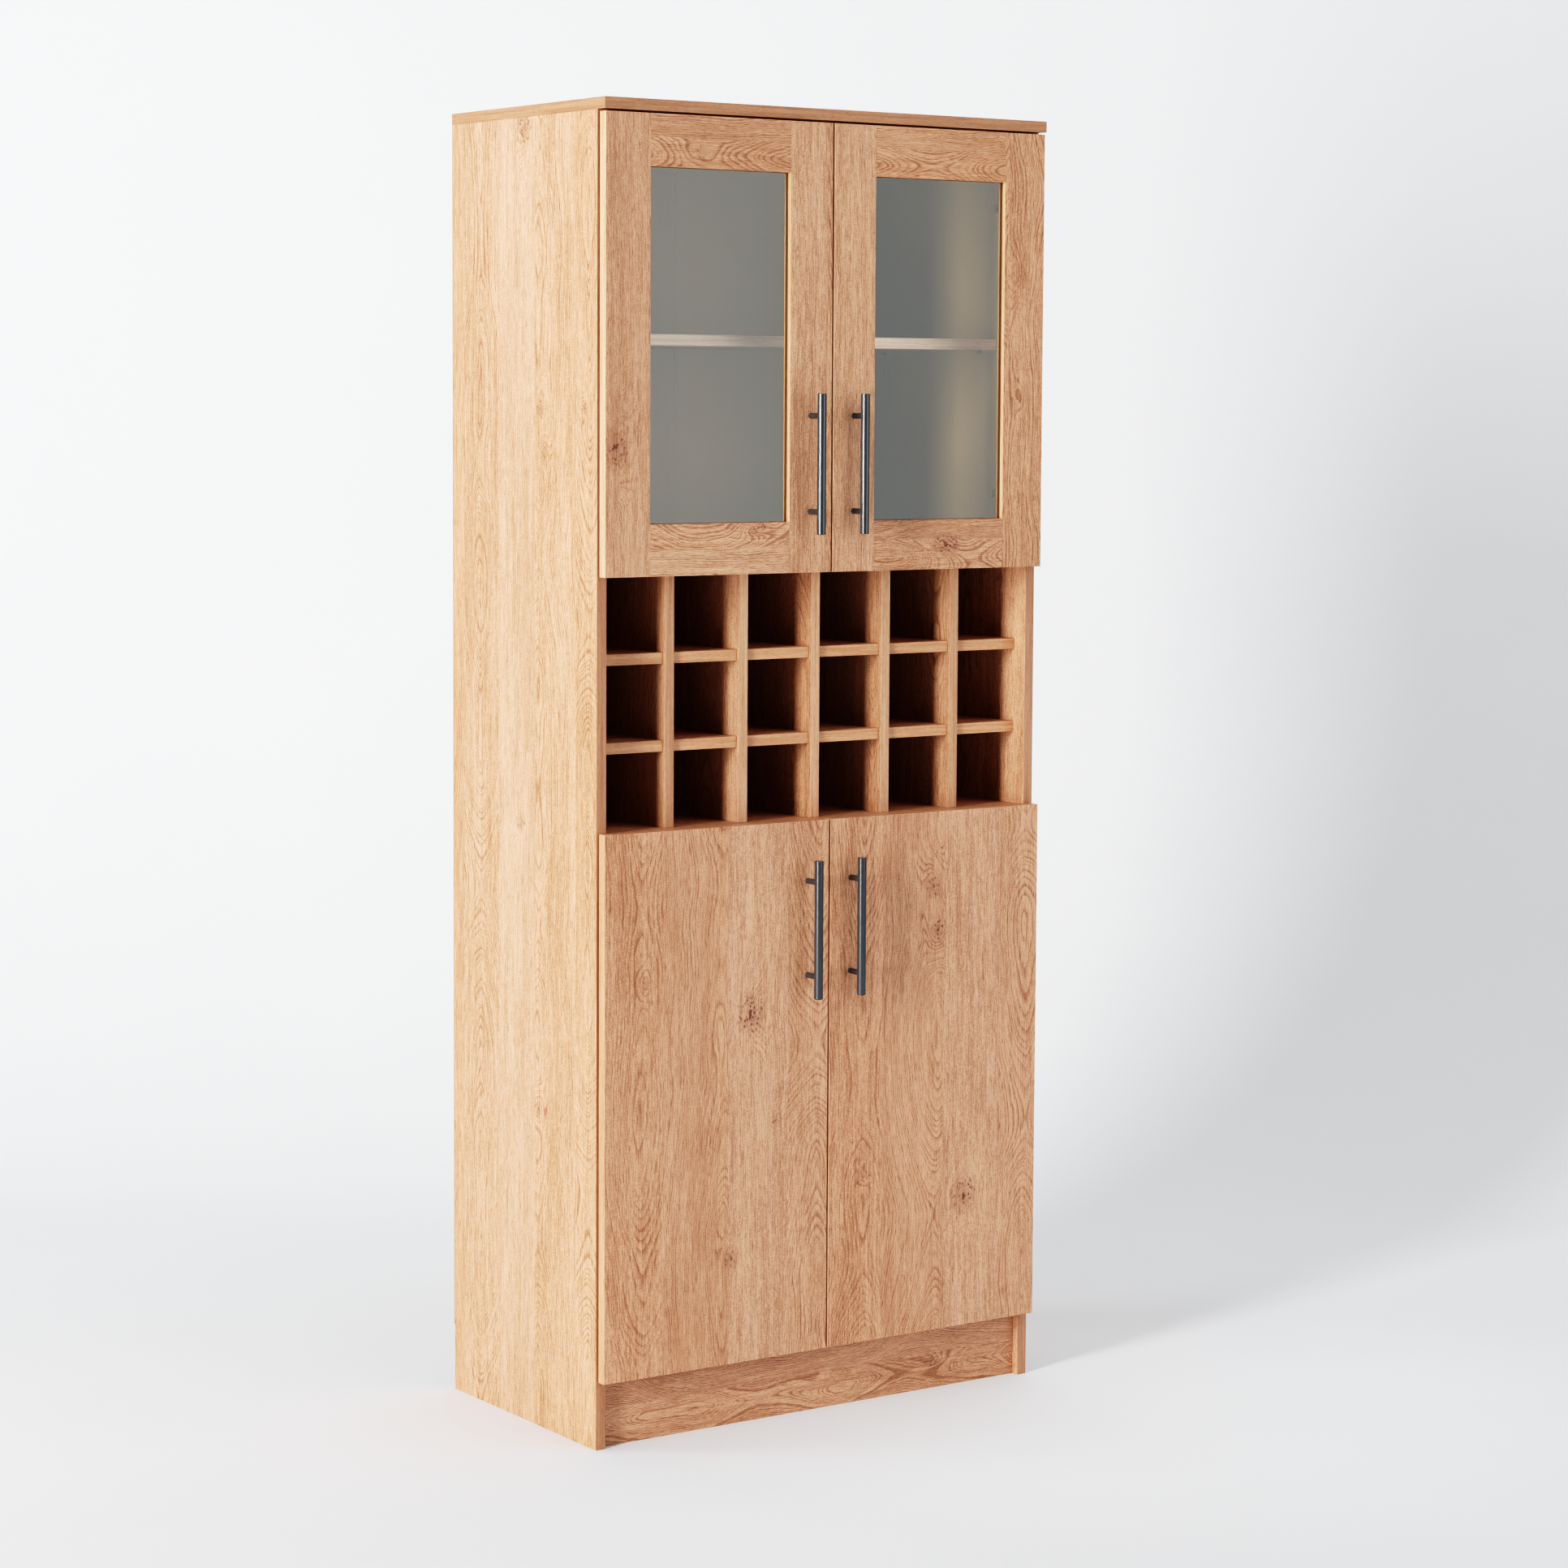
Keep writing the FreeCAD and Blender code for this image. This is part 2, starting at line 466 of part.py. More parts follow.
def plate_screws(zc):
    out = []
    for sg in ("-", "+"):
        z = "%s %s plate_screw_pitch / 2" % (zc, sg)
        y = "y_sides + plate_screw_line"
        shank = cyl(tag("euro"), "-%s - euro_length" % INNER, y, z, "euro_dia",
                    "euro_length + plate_thick", ROT_X)
        head = cyl(tag("euro_head"), "-%s + plate_thick" % INNER, y, z, "euro_head", "euro_head_h", ROT_X)
        s = fuse(tag("euro_solid"), [shank, head])
        x1 = "-%s + plate_thick + euro_head_h - 1" % INNER
        cross = [box(tag("drive"), x1, y + " - 2.4", z + " - 0.5", 2, 4.8, 1.0),
                 box(tag("drive"), x1, y + " - 0.5", z + " - 2.4", 2, 1.0, 4.8)]
        out.append(cut(tag("euro_screw"), s, cross))
        hole("side", cyl(tag("hole"), "-%s - euro_length - dowel_slack" % INNER, y, z, "euro_dia",
                         "euro_length + dowel_slack", ROT_X))
    return out


arms, plates, euros = [], [], []
for zc in HINGES_UP + HINGES_LOW:
    arms.append(hinge_arm(zc))
    plates.append(hinge_plate(zc))
    euros.extend(plate_screws(zc))
arms_l = join("arms_left_set", arms)
plates_l = join("plates_left_set", plates)
euros_l = join("euros_left_set", euros)

# ------------------------------------------------------------ the carcass
side = box("side_blank", "-%s" % XL, "y_sides", 0, "board", "side_depth", TOP_Z)
left_side = piece(cut("left_side", side, holes["side"]), "left_side_panel")
piece(mirror("right_side", left_side), "right_side_panel")

top = box("top_blank", "-%s" % XL, "y_sides - top_overhang", TOP_Z, "cab_width",
          "top_overhang + side_depth + back_thick", "board")
piece(cut("top", top, holes["top"]), "top_panel")

for key, z0, label in (("upper_floor", "upper_floor_z", "upper_cabinet_floor"),
                       ("rack_floor", "rack_floor_z", "rack_floor_board"),
                       ("bottom", "plinth_height", "bottom_board")):
    b = box(key + "_blank", "-%s" % INNER, "y_sides", z0, "2 * %s" % INNER, "side_depth", "board")
    piece(cut(key + "_board", b, holes[key]), label)

b = box("plinth_blank", "-%s" % INNER, PY, 0, "2 * %s" % INNER, "board", "plinth_height")
piece(cut("plinth", b, holes["plinth"]), "plinth_board")

b = box("back_blank", "-%s + back_inset" % XL, REAR, "plinth_height",
        "cab_width / 2 - back_inset - back_seam / 2", "back_thick", TOP_Z + " - plinth_height")
back_l = piece(cut("back_l", b, holes["back"]), "back_panel_left")
piece(mirror("back_r", back_l), "back_panel_right")

for key in ("upper_shelf", "lower_shelf"):
    piece(box(key, "-%s + shelf_side_gap" % INNER, "y_sides + shelf_setback", key + "_z",
              "2 * %s - 2 * shelf_side_gap" % INNER,
              "side_depth - shelf_setback - shelf_rear_gap", "board"), key)
piece(join("pins_all", pins), "shelf_pins")

# bottle rack: dividers slotted from the rear, shelves notched from the front
for n, dx in enumerate(DIV_X, start=1):
    b = box("div_blank_%d" % n, dx, "y_sides + rack_setback", RACK_TOP, "board",
            "side_depth - rack_setback", "3 * cell_height + 2 * board")
    slots = [box(tag("slot"), dx + " - 1", "y_sides + rack_lap", z0 + " - slot_play", "board + 2",
                 "side_depth - rack_lap + 1", "board + 2 * slot_play") for z0 in (RS_LOW, RS_UP)]
    piece(cut("divider_%d" % n, b, holes["div%d" % n] + slots), "rack_divider_%d" % n)
for key, z0, label in (("rack_low", RS_LOW, "rack_shelf_lower"), ("rack_up", RS_UP, "rack_shelf_upper")):
    b = box(key + "_blank", "-%s" % INNER, "y_sides + rack_shelf_setback", z0, "2 * %s" % INNER,
            "side_depth - rack_shelf_setback", "board")
    notches = [box(tag("notch"), dx + " - lap_play", "y_sides + rack_shelf_setback - 1", z0 + " - 1",
                   "board + 2 * lap_play", "rack_lap - rack_shelf_setback + 1 + lap_play", "board + 2")
               for dx in DIV_X]
    piece(cut(key + "_shelf", b, notches + holes[key]), label)

piece(join("cams_all", cams), "cam_locks")
piece(join("bolts_all", bolts), "cam_bolts")
piece(join("dowels_all", dowels), "wood_dowels")
piece(join("back_screws_all", back_screws), "back_panel_screws")
piece(join("plates_all", [plates_l, mirror("plates_right_set", plates_l)]), "hinge_mounting_plates")
piece(join("euros_all", [euros_l, mirror("euros_right_set", euros_l)]), "hinge_plate_screws")
piece(join("arms_all", [arms_l, mirror("arms_right_set", arms_l)]), "hinge_arms")

bumps = []
for z0 in ("upper_floor_z", "rack_floor_z", "plinth_height"):
    for sx_ in ("-bumper_x", "bumper_x"):
        bumps.append(cyl(tag("bumper"), sx_, "y_sides - bumper_thick", z0 + " + board / 2",
                         "bumper_dia", "bumper_thick", ROT_Y))
piece(join("bumpers_all", bumps), "door_bumpers")

# --------------------------------------------------------------- handles
HX = "-handle_x"


def handle(stem, zc):
    """Bar with two posts for the left-hand door of a pair."""
    y_bar = DOOR_FRONT + " - standoff"
    bar = cyl(stem + "_bar", HX, y_bar, zc + " - bar_length / 2", "bar_dia", "bar_length")
    soft = doc.addObject("Part::Chamfer", stem + "_bar_soft")
    soft.Base = bar
    edges = []
    doc.recompute()
    for i, e in enumerate(bar.Shape.Edges, start=1):
        if isinstance(e.Curve, Part.Circle):
            edges.append((i, D["bar_chamfer"], D["bar_chamfer"]))
    soft.Edges = edges
    posts = [cyl(tag(stem + "_post"), HX, y_bar, "%s %s post_pitch / 2" % (zc, sg), "post_dia",
                 "standoff", ROT_Y) for sg in ("-", "+")]
    solid = fuse(stem + "_solid", [soft] + posts)
    bores = [cyl(tag("hole"), HX, DOOR_FRONT + " - handle_screw_grip - dowel_slack",
                 "%s %s post_pitch / 2" % (zc, sg), "handle_screw_dia",
                 "handle_screw_grip + dowel_slack + 1", ROT_Y) for sg in ("-", "+")]
    return cut(stem, solid, bores)


def handle_screws(stem, zc):
    out = []
    for sg in ("-", "+"):
        z = "%s %s post_pitch / 2" % (zc, sg)
        shank = cyl(tag("mshank"), HX, DOOR_FRONT + " - handle_screw_grip", z, "handle_screw_dia",
                    "board + handle_screw_grip", ROT_Y)
        head = cyl(tag("mhead"), HX, DOOR_BACK, z, "handle_screw_head", "handle_screw_head_h", ROT_Y)
        s = fuse(tag("mscrew_solid"), [shank, head])
        y1 = DOOR_BACK + " + handle_screw_head_h - 1.2"
        cross = [box(tag("drive"), HX + " - 2.2", y1, z + " - 0.5", 4.4, 2.5, 1.0),
                 box(tag("drive"), HX + " - 0.5", y1, z + " - 2.2", 1.0, 2.5, 4.4)]
        out.append(cut(tag("mscrew"), s, cross))
    return join(stem, out)


def door_screw_holes(zc):
    return [cyl(tag("hole"), HX, DOOR_FRONT + " - 1", "%s %s post_pitch / 2" % (zc, sg),
                "handle_screw_dia + screw_play", "board + 2", ROT_Y) for sg in ("-", "+")]


UP_HZ = "upper_door_z + handle_from_edge"
LOW_HZ = "lower_door_z + lower_door_height - handle_from_edge"


def pair(left, stem):
    """A left-door piece and its mirror image for the right door."""
    piece(left, stem.replace("SIDE", "left"))
    piece(mirror(left.Name + "_mirror", left), stem.replace("SIDE", "right"))


# ---------------------------------------------------- framed glass doors
FW = "frame_width"
OPEN_Z0 = "upper_door_z + frame_width"
OPEN_H = "upper_door_height - 2 * frame_width"
DOOR_W = "(cab_width / 2 - door_inset - door_middle)"
OPEN_W = "(cab_width / 2 - door_inset - door_middle - 2 * frame_width)"
X_OPEN = EDGE + " + frame_width"
GROOVE_Y = DOOR_FRONT + " + front_lip"

st = box("h_stile_blank", EDGE, DOOR_FRONT, "upper_door_z", FW, "board", "upper_door_height")
gr = box("h_stile_groove", X_OPEN + " - groove_depth", GROOVE_Y, "upper_door_z - 1",
         "groove_depth + 1", "groove_width", "upper_door_height + 2")
pair(cut("h_stile", st, [gr] + [cup_bore(z) for z in HINGES_UP]), "upper_SIDE_hinge_stile")

st = box("m_stile_blank", "-door_middle - frame_width", DOOR_FRONT, "upper_door_z", FW, "board",
         "upper_door_height")
gr = box("m_stile_groove", "-door_middle - frame_width - 1", GROOVE_Y, "upper_door_z - 1",
         "groove_depth + 1", "groove_width", "upper_door_height + 2")
pair(cut("m_stile", st, [gr] + door_screw_holes(UP_HZ)), "upper_SIDE_meeting_stile")

for which, z0, tz, gz in (("top", OPEN_Z0 + " + " + OPEN_H, OPEN_Z0 + " + " + OPEN_H + " + groove_depth",
                           OPEN_Z0 + " + " + OPEN_H + " - 1"),
                          ("bottom", "upper_door_z", "upper_door_z",
                           OPEN_Z0 + " - groove_depth")):
    blank = box(which + "_rail_blank", X_OPEN, DOOR_FRONT, z0, OPEN_W, "board", FW)
    tongue = box(which + "_rail_tongue", X_OPEN + " - groove_depth + tenon_play", GROOVE_Y + " + 0.05",
                 tz, OPEN_W + " + 2 * groove_depth - 2 * tenon_play", "groove_width - 0.1",
                 "frame_width - groove_depth")
    body = fuse(which + "_rail_body", [blank, tongue])
    groove = box(which + "_rail_groove", X_OPEN + " - 20", GROOVE_Y, gz, OPEN_W + " + 40",
                 "groove_width", "groove_depth + 1")
    pair(cut(which + "_rail", body, [groove]), "upper_SIDE_%s_rail" % which)

glass_y = DOOR_FRONT + " + front_lip + seal_leg"
pair(box("glass_pane", X_OPEN + " - glass_cover", glass_y, OPEN_Z0 + " - glass_cover",
         OPEN_W + " + 2 * glass_cover", "glass_thick", OPEN_H + " + 2 * glass_cover"),
     "upper_SIDE_glass")

so = box("seal_outer", X_OPEN + " - seal_bottom", GROOVE_Y, OPEN_Z0 + " - seal_bottom",
         OPEN_W + " + 2 * seal_bottom", "groove_width", OPEN_H + " + 2 * seal_bottom")
si = box("seal_inner", X_OPEN + " + seal_show", GROOVE_Y + " - 1", OPEN_Z0 + " + seal_show",
         OPEN_W + " - 2 * seal_show", "groove_width + 2", OPEN_H + " - 2 * seal_show")
sg_ = box("seal_glass", X_OPEN + " - glass_cover", glass_y, OPEN_Z0 + " - glass_cover",
          OPEN_W + " + 2 * glass_cover", "glass_thick", OPEN_H + " + 2 * glass_cover")
pair(cut("seal", cut("seal_ring", so, [si]), [sg_]), "upper_SIDE_glazing_seal")

pair(handle("upper_bar_handle", UP_HZ), "upper_SIDE_handle")
pair(handle_screws("upper_bar_screws", UP_HZ), "upper_SIDE_handle_screws")
pair(join("upper_cups", [hinge_cup(z) for z in HINGES_UP]), "upper_SIDE_hinge_cups")
pair(join("upper_links", [hinge_link(z) for z in HINGES_UP]), "upper_SIDE_hinge_links")

# ------------------------------------------------------ plain lower doors
b = box("low_door_blank", EDGE, DOOR_FRONT, "lower_door_z", DOOR_W, "board", "lower_door_height")
pair(cut("low_door", b, [cup_bore(z) for z in HINGES_LOW] + door_screw_holes(LOW_HZ)),
     "lower_SIDE_door_panel")
pair(handle("lower_bar_handle", LOW_HZ), "lower_SIDE_handle")
pair(handle_screws("lower_bar_screws", LOW_HZ), "lower_SIDE_handle_screws")
pair(join("lower_cups", [hinge_cup(z) for z in HINGES_LOW]), "lower_SIDE_hinge_cups")
pair(join("lower_links", [hinge_link(z) for z in HINGES_LOW]), "lower_SIDE_hinge_links")

# ------------------------------------------------------------ check, write
doc.recompute()
for o in doc.Objects:
    bad = [s for s in o.State if s in ("Invalid", "Error")]
    if bad:
        raise SystemExit("object %s is %s" % (o.Name, bad))
for o in PIECES:
    if o.Shape.isNull() or not o.Shape.isValid() or o.Shape.Volume <= 0:
        raise SystemExit("piece %s has no valid shape" % o.Label)
labels = [o.Label for o in PIECES]
if len(set(labels)) != len(labels):
    raise SystemExit("a node name is used twice")

os.makedirs("parts", exist_ok=True)
box_all = FreeCAD.BoundBox()
for o in PIECES:
    o.Shape.exportStep("parts/%s.step" % o.Label)
    box_all.add(o.Shape.BoundBox)
    print("%-28s solids %3d volume %12.1f" % (o.Label, len(o.Shape.Solids), o.Shape.Volume))
print("nodes", len(PIECES))
print("box", [round(v, 3) for v in (box_all.XMin, box_all.XMax, box_all.YMin, box_all.YMax,
                                    box_all.ZMin, box_all.ZMax)])
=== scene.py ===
import bpy, math
from mathutils import Vector, Matrix

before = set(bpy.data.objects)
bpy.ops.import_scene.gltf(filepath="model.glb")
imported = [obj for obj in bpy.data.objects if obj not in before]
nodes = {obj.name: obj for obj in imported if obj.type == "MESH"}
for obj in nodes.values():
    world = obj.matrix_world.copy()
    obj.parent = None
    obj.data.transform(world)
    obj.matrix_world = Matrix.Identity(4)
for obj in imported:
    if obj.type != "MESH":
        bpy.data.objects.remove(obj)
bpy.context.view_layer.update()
scene = bpy.context.scene


# ------------------------------------------------------------ node helpers
class Net:
    """Small helper that adds nodes to a tree and joins them."""

    def __init__(self, tree):
        self.t = tree
        tree.nodes.clear()

    def add(self, kind, **props):
        n = self.t.nodes.new(kind)
        for k, v in props.items():
            setattr(n, k, v)
        return n

    def put(self, sock, v):
        if v is None:
            return
        if isinstance(v, bpy.types.NodeSocket):
            self.t.links.new(v, sock)
        else:
            sock.default_value = v

    def m(self, op, a, b=None, c=None, clamp=False):
        n = self.add("ShaderNodeMath", operation=op, use_clamp=clamp)
        for i, v in enumerate((a, b, c)):
            self.put(n.inputs[i], v)
        return n.outputs[0]

    def vec(self, x=0.0, y=0.0, z=0.0):
        n = self.add("ShaderNodeCombineXYZ")
        for i, v in enumerate((x, y, z)):
            self.put(n.inputs[i], v)
        return n.outputs[0]

    def noise(self, vector, scale=1.0, detail=1.0, rough=0.5, dist=0.0, dim="3D"):
        n = self.add("ShaderNodeTexNoise", noise_dimensions=dim)
        if dim == "1D":
            self.put(n.inputs["W"], vector)
        else:
            self.put(n.inputs["Vector"], vector)
        n.inputs["Scale"].default_value = scale
        n.inputs["Detail"].default_value = detail
        n.inputs["Roughness"].default_value = rough
        n.inputs["Distortion"].default_value = dist
        return n.outputs[0]

    def remap(self, v, a0, a1, b0=0.0, b1=1.0, kind="LINEAR"):
        n = self.add("ShaderNodeMapRange", interpolation_type=kind)
        for i, x in enumerate((v, a0, a1, b0, b1)):
            self.put(n.inputs[i], x)
        return n.outputs[0]

    def mixc(self, fac, a, b, mode="MIX"):
        n = self.add("ShaderNodeMix", data_type="RGBA", blend_type=mode)
        self.put(n.inputs[0], fac)
        self.put(n.inputs[6], a if isinstance(a, bpy.types.NodeSocket) else (*a, 1.0))
        self.put(n.inputs[7], b if isinstance(b, bpy.types.NodeSocket) else (*b, 1.0))
        return n.outputs[2]

    def mixf(self, fac, a, b):
        n = self.add("ShaderNodeMix", data_type="FLOAT")
        self.put(n.inputs[0], fac)
        self.put(n.inputs[2], a)
        self.put(n.inputs[3], b)
        return n.outputs[0]

    def steps(self, t, edges, values):
        """values[i] where t lies between edges[i-1] and edges[i]."""
        out = values[0]
        for e, v0, v1 in zip(edges, values, values[1:]):
            gate = self.m("GREATER_THAN", t, e)
            out = self.m("MULTIPLY_ADD", gate, v1 - v0, out)
        return out


def group(name, inputs, outputs):
    g = bpy.data.node_groups.new(name, "ShaderNodeTree")
    for n, kind, d in inputs:
        s = g.interface.new_socket(n, in_out="INPUT", socket_type=kind)
        if d is not None:
            s.default_value = d
    for n, kind in outputs:
        g.interface.new_socket(n, in_out="OUTPUT", socket_type=kind)
    net = Net(g)
    gi, go = net.add("NodeGroupInput"), net.add("NodeGroupOutput")
    return g, net, gi.outputs, go.inputs


def lin(r, g, b):
    """An 8-bit colour as linear values."""
    def f(c):
        c = c / 255.0
        return c / 12.92 if c <= 0.04045 else ((c + 0.055) / 1.055) ** 2.4
    return (f(r), f(g), f(b))


# ------------------------------------------------- the printed oak pattern
F, VEC, COL = "NodeSocketFloat", "NodeSocketVector", "NodeSocketColor"

OAK_LIGHT = lin(224, 177, 146)
OAK_MID = lin(181, 134, 103)
OAK_LINE = lin(142, 92, 64)
OAK_PORE = lin(122, 76, 55)
OAK_KNOT = lin(104, 55, 36)


def make_decor():
    """u runs across the grain and v along it, in millimetres.  The print is four staves
    that repeat every 385 mm: an arched figure, a half arch, fine straight grain with
    knots, and a second arched figure."""
    g, n, gi, go = group("OakPrint",
        [("U", F, 0), ("V", F, 0), ("Seed", F, 0), ("Push", F, 0), ("Knot", F, 0), ("Strength", F, 1.0), ("Streak", F, 1.0)],
        [("Color", COL), ("Height", F), ("Rough", F)])
    U, V, seed, push, knot, strength, streak = (gi[k] for k in ("U", "V", "Seed", "Push", "Knot", "Strength", "Streak"))
    P = 385.0
    t = n.m("WRAP", U, P, 0.0)
    edges = (90.0, 194.0, 291.0)
    cell = n.m("FLOOR", n.m("DIVIDE", U, P))
    base_seed = n.m("MULTIPLY_ADD", cell, 7.3, seed)
    sid = n.m("ADD", n.steps(t, edges, (0.0, 3.7, 8.1, 12.9)), base_seed)
    axis = n.steps(t, edges, (58.0, 186.0, -420.0, 338.0))
    amp = n.steps(t, edges, (1.0, 0.85, 0.35, 1.0))
    ring = n.steps(t, edges, (3.9, 3.5, 2.6, 3.9))
    power = n.steps(t, edges, (1.0, 0.95, 0.55, 1.0))

    def field(a, su, b, sv, off, detail=1.0, rough=0.5):
        return n.noise(n.vec(n.m("MULTIPLY", a, 1 / su), n.m("MULTIPLY", b, 1 / sv), n.m("ADD", sid, off)), 1.0, detail, rough)

    def centred(x, k):
        return n.m("MULTIPLY", n.m("SUBTRACT", x, 0.5), k)

    # slow wander of the whole figure, then small kinks
    wander = n.m("ADD", centred(field(U, 70.0, V, 330.0, 0.0), 24.0), centred(field(U, 15.0, V, 55.0, 2.0, 1.0), 7.0))
    kink = centred(field(U, 4.5, V, 20.0, 6.0, 2.0, 0.6), 2.3)
    s = n.m("ADD", n.m("SUBTRACT", t, axis), n.m("ADD", wander, kink))
    # distance of the cut from the heart, which changes along the board
    h1 = n.noise(n.m("MULTIPLY_ADD", V, 1 / 430.0, sid), 1.0, 1.5, 0.4, dim="1D")
    h = n.m("MULTIPLY", n.m("SUBTRACT", h1, 0.27), n.m("MULTIPLY", amp, 190.0))
    sa = n.m("POWER", n.m("MAXIMUM", n.m("ABSOLUTE", s), 0.5), 1.55)
    ha = n.m("POWER", n.m("MAXIMUM", n.m("ABSOLUTE", h), 0.5), 1.55)
    r = n.m("POWER", n.m("ADD", sa, ha), 1 / 1.55)
    r = n.m("ADD", r, push)
    # uneven years
    years = n.noise(n.m("MULTIPLY_ADD", r, 1 / 17.0, sid), 1.0, 1.0, 0.5, dim="1D")
    phase = n.m("ADD", n.m("DIVIDE", r, ring), n.m("MULTIPLY", years, 2.6))
    saw = n.m("FRACT", phase)
    rise = n.remap(saw, 0.0, 0.12, 0.0, 1.0, "SMOOTHSTEP")
    fall = n.m("POWER", n.m("SUBTRACT", 1.0, saw), 3.6)
    line = n.m("MULTIPLY", n.m("MULTIPLY", rise, fall), 2.5)
    strong = n.noise(n.m("MULTIPLY_ADD", r, 1 / 9.0, n.m("ADD", sid, 40.0)), 1.0, 0.0, 0.5, dim="1D")
    strong = n.remap(strong, 0.30, 0.68, 0.30, 1.25)
    patch = n.remap(field(U, 30.0, V, 150.0, 9.0), 0.30, 0.66, 0.40, 1.25)
    # fibre, strokes and pores, long in the grain direction
    us = n.m("ADD", t, n.m("ADD", n.m("MULTIPLY", wander, 0.35), n.m("MULTIPLY", kink, 0.45)))
    fib = field(us, 0.95, V, 60.0, 0.0, 2.0, 0.6)
    dash = field(us, 0.9, V, 14.0, 3.0, 1.0, 0.6)
    grit = field(U, 0.9, V, 1.7, 4.0, 0.0)
    soft = field(us, 7.5, V, 120.0, 5.0, 2.0)
    broad = field(U, 60.0, V, 380.0, 21.0)
    feather = n.remap(n.m("ADD", n.m("MULTIPLY", fib, 0.62), n.m("MULTIPLY", dash, 0.38)), 0.37, 0.60, 0.12, 1.45)
    ringmask = n.m("MULTIPLY", n.m("MULTIPLY", line, strong), n.m("MULTIPLY", feather, patch))
    ringmask = n.m("MULTIPLY", n.m("MULTIPLY", ringmask, power), strength, clamp=True)
    poremask = n.remap(dash, 0.56, 0.72, 0.0, 1.0)
    tone = n.m("ADD", centred(soft, 1.0), centred(broad, 1.1))
    fine = n.m("ADD", n.m("ADD", centred(fib, 2.2), centred(dash, 1.5)), centred(grit, 2.0))
    tone = n.m("ADD", tone, n.m("MULTIPLY", fine, streak))
    tone = n.m("ADD", tone, n.steps(t, edges, (0.47, 0.46, 0.44, 0.44)), clamp=True)
    col = n.mixc(tone, OAK_LIGHT, OAK_MID)
    col = n.mixc(n.m("MULTIPLY", ringmask, 0.66), col, OAK_LINE)
    col = n.mixc(n.m("MULTIPLY", poremask, n.m("MULTIPLY_ADD", ringmask, 0.30, 0.22)), col, OAK_PORE)
    grey = n.add("ShaderNodeCombineColor")
    n.put(grey.inputs[1], n.steps(t, edges, (0.985, 1.0, 1.035, 1.01)))
    n.put(grey.inputs[2], n.steps(t, edges, (0.97, 1.0, 1.07, 1.02)))
    grey.inputs[0].default_value = 1.0
    col = n.mixc(1.0, col, grey.outputs[0], "MULTIPLY")
    col = n.mixc(knot, col, OAK_KNOT)
    n.put(go["Color"], col)
    n.put(go["Height"], n.m("SUBTRACT", n.m("SUBTRACT", 1.0, n.m("MULTIPLY", poremask, 0.8)),
                            n.m("MULTIPLY", ringmask, 0.25)))
    n.put(go["Rough"], n.m("ADD", 0.47, n.m("ADD", n.m("MULTIPLY", poremask, 0.10), n.m("MULTIPLY", soft, 0.10))))
    return g


def make_knot():
    """Bends the rings round a knot and darkens its heart."""
    g, n, gi, go = group("OakKnot",
        [("U", F, 0), ("V", F, 0), ("KU", F, 0), ("KV", F, 0), ("Size", F, 9.0), ("Dark", F, 1.0)],
        [("Push", F), ("Knot", F)])
    U, V, ku, kv, size, dark = (gi[k] for k in ("U", "V", "KU", "KV", "Size", "Dark"))
    wob = n.noise(n.vec(n.m("MULTIPLY", U, 1 / 9.0), n.m("MULTIPLY", V, 1 / 14.0), ku), 1.0, 2.0, 0.6)
    wob = n.m("SUBTRACT", wob, 0.5)
    du = n.m("DIVIDE", n.m("SUBTRACT", U, ku), size)
    dv = n.m("DIVIDE", n.m("SUBTRACT", V, kv), size)
    far = n.m("ADD", n.m("MULTIPLY", du, du), n.m("MULTIPLY", n.m("MULTIPLY", dv, dv), 0.16))
    push = n.m("EXPONENT", n.m("MULTIPLY", far, -0.26))
    push = n.m("MULTIPLY", push, n.m("MULTIPLY", size, 2.7))
    near = n.m("SQRT", n.m("ADD", n.m("MULTIPLY", du, du), n.m("MULTIPLY", n.m("MULTIPLY", dv, dv), 0.55)))
    near = n.m("ADD", near, n.m("MULTIPLY", wob, 1.3))
    halo = n.remap(near, 0.15, 2.0, 0.42, 0.0, "SMOOTHSTEP")
    heart = n.remap(near, 0.04, 0.27, 0.88, 0.0, "SMOOTHSTEP")
    # small round pips and short cracks inside the halo
    vor = n.add("ShaderNodeTexVoronoi", voronoi_dimensions="3D", feature="F1")
    n.put(vor.inputs["Vector"], n.vec(n.m("MULTIPLY", U, 1 / 5.2), n.m("MULTIPLY", V, 1 / 6.0), kv))
    vor.inputs["Scale"].default_value = 1.0
    pip = n.remap(vor.outputs["Distance"], 0.16, 0.34, 1.0, 0.0, "SMOOTHSTEP")
    rim = n.remap(vor.outputs["Distance"], 0.34, 0.60, 0.42, 0.0, "SMOOTHSTEP")
    pip = n.m("MULTIPLY", n.m("MAXIMUM", pip, rim), n.remap(near, 0.9, 1.75, 0.95, 0.0, "SMOOTHSTEP"))
    crack = n.noise(n.vec(n.m("MULTIPLY", U, 1 / 1.6), n.m("MULTIPLY", V, 1 / 6.5), kv), 1.0, 2.0, 0.6)
    crack = n.m("MULTIPLY", n.remap(crack, 0.58, 0.66, 0.0, 0.9), n.remap(near, 0.4, 1.1, 1.0, 0.0, "SMOOTHSTEP"))
    k = n.m("MAXIMUM", n.m("MULTIPLY", halo, 0.62), n.m("MAXIMUM", heart, n.m("MAXIMUM", pip, crack)))
    n.put(go["Push"], push)
    n.put(go["Knot"], n.m("MULTIPLY", k, dark, clamp=True))
    return g


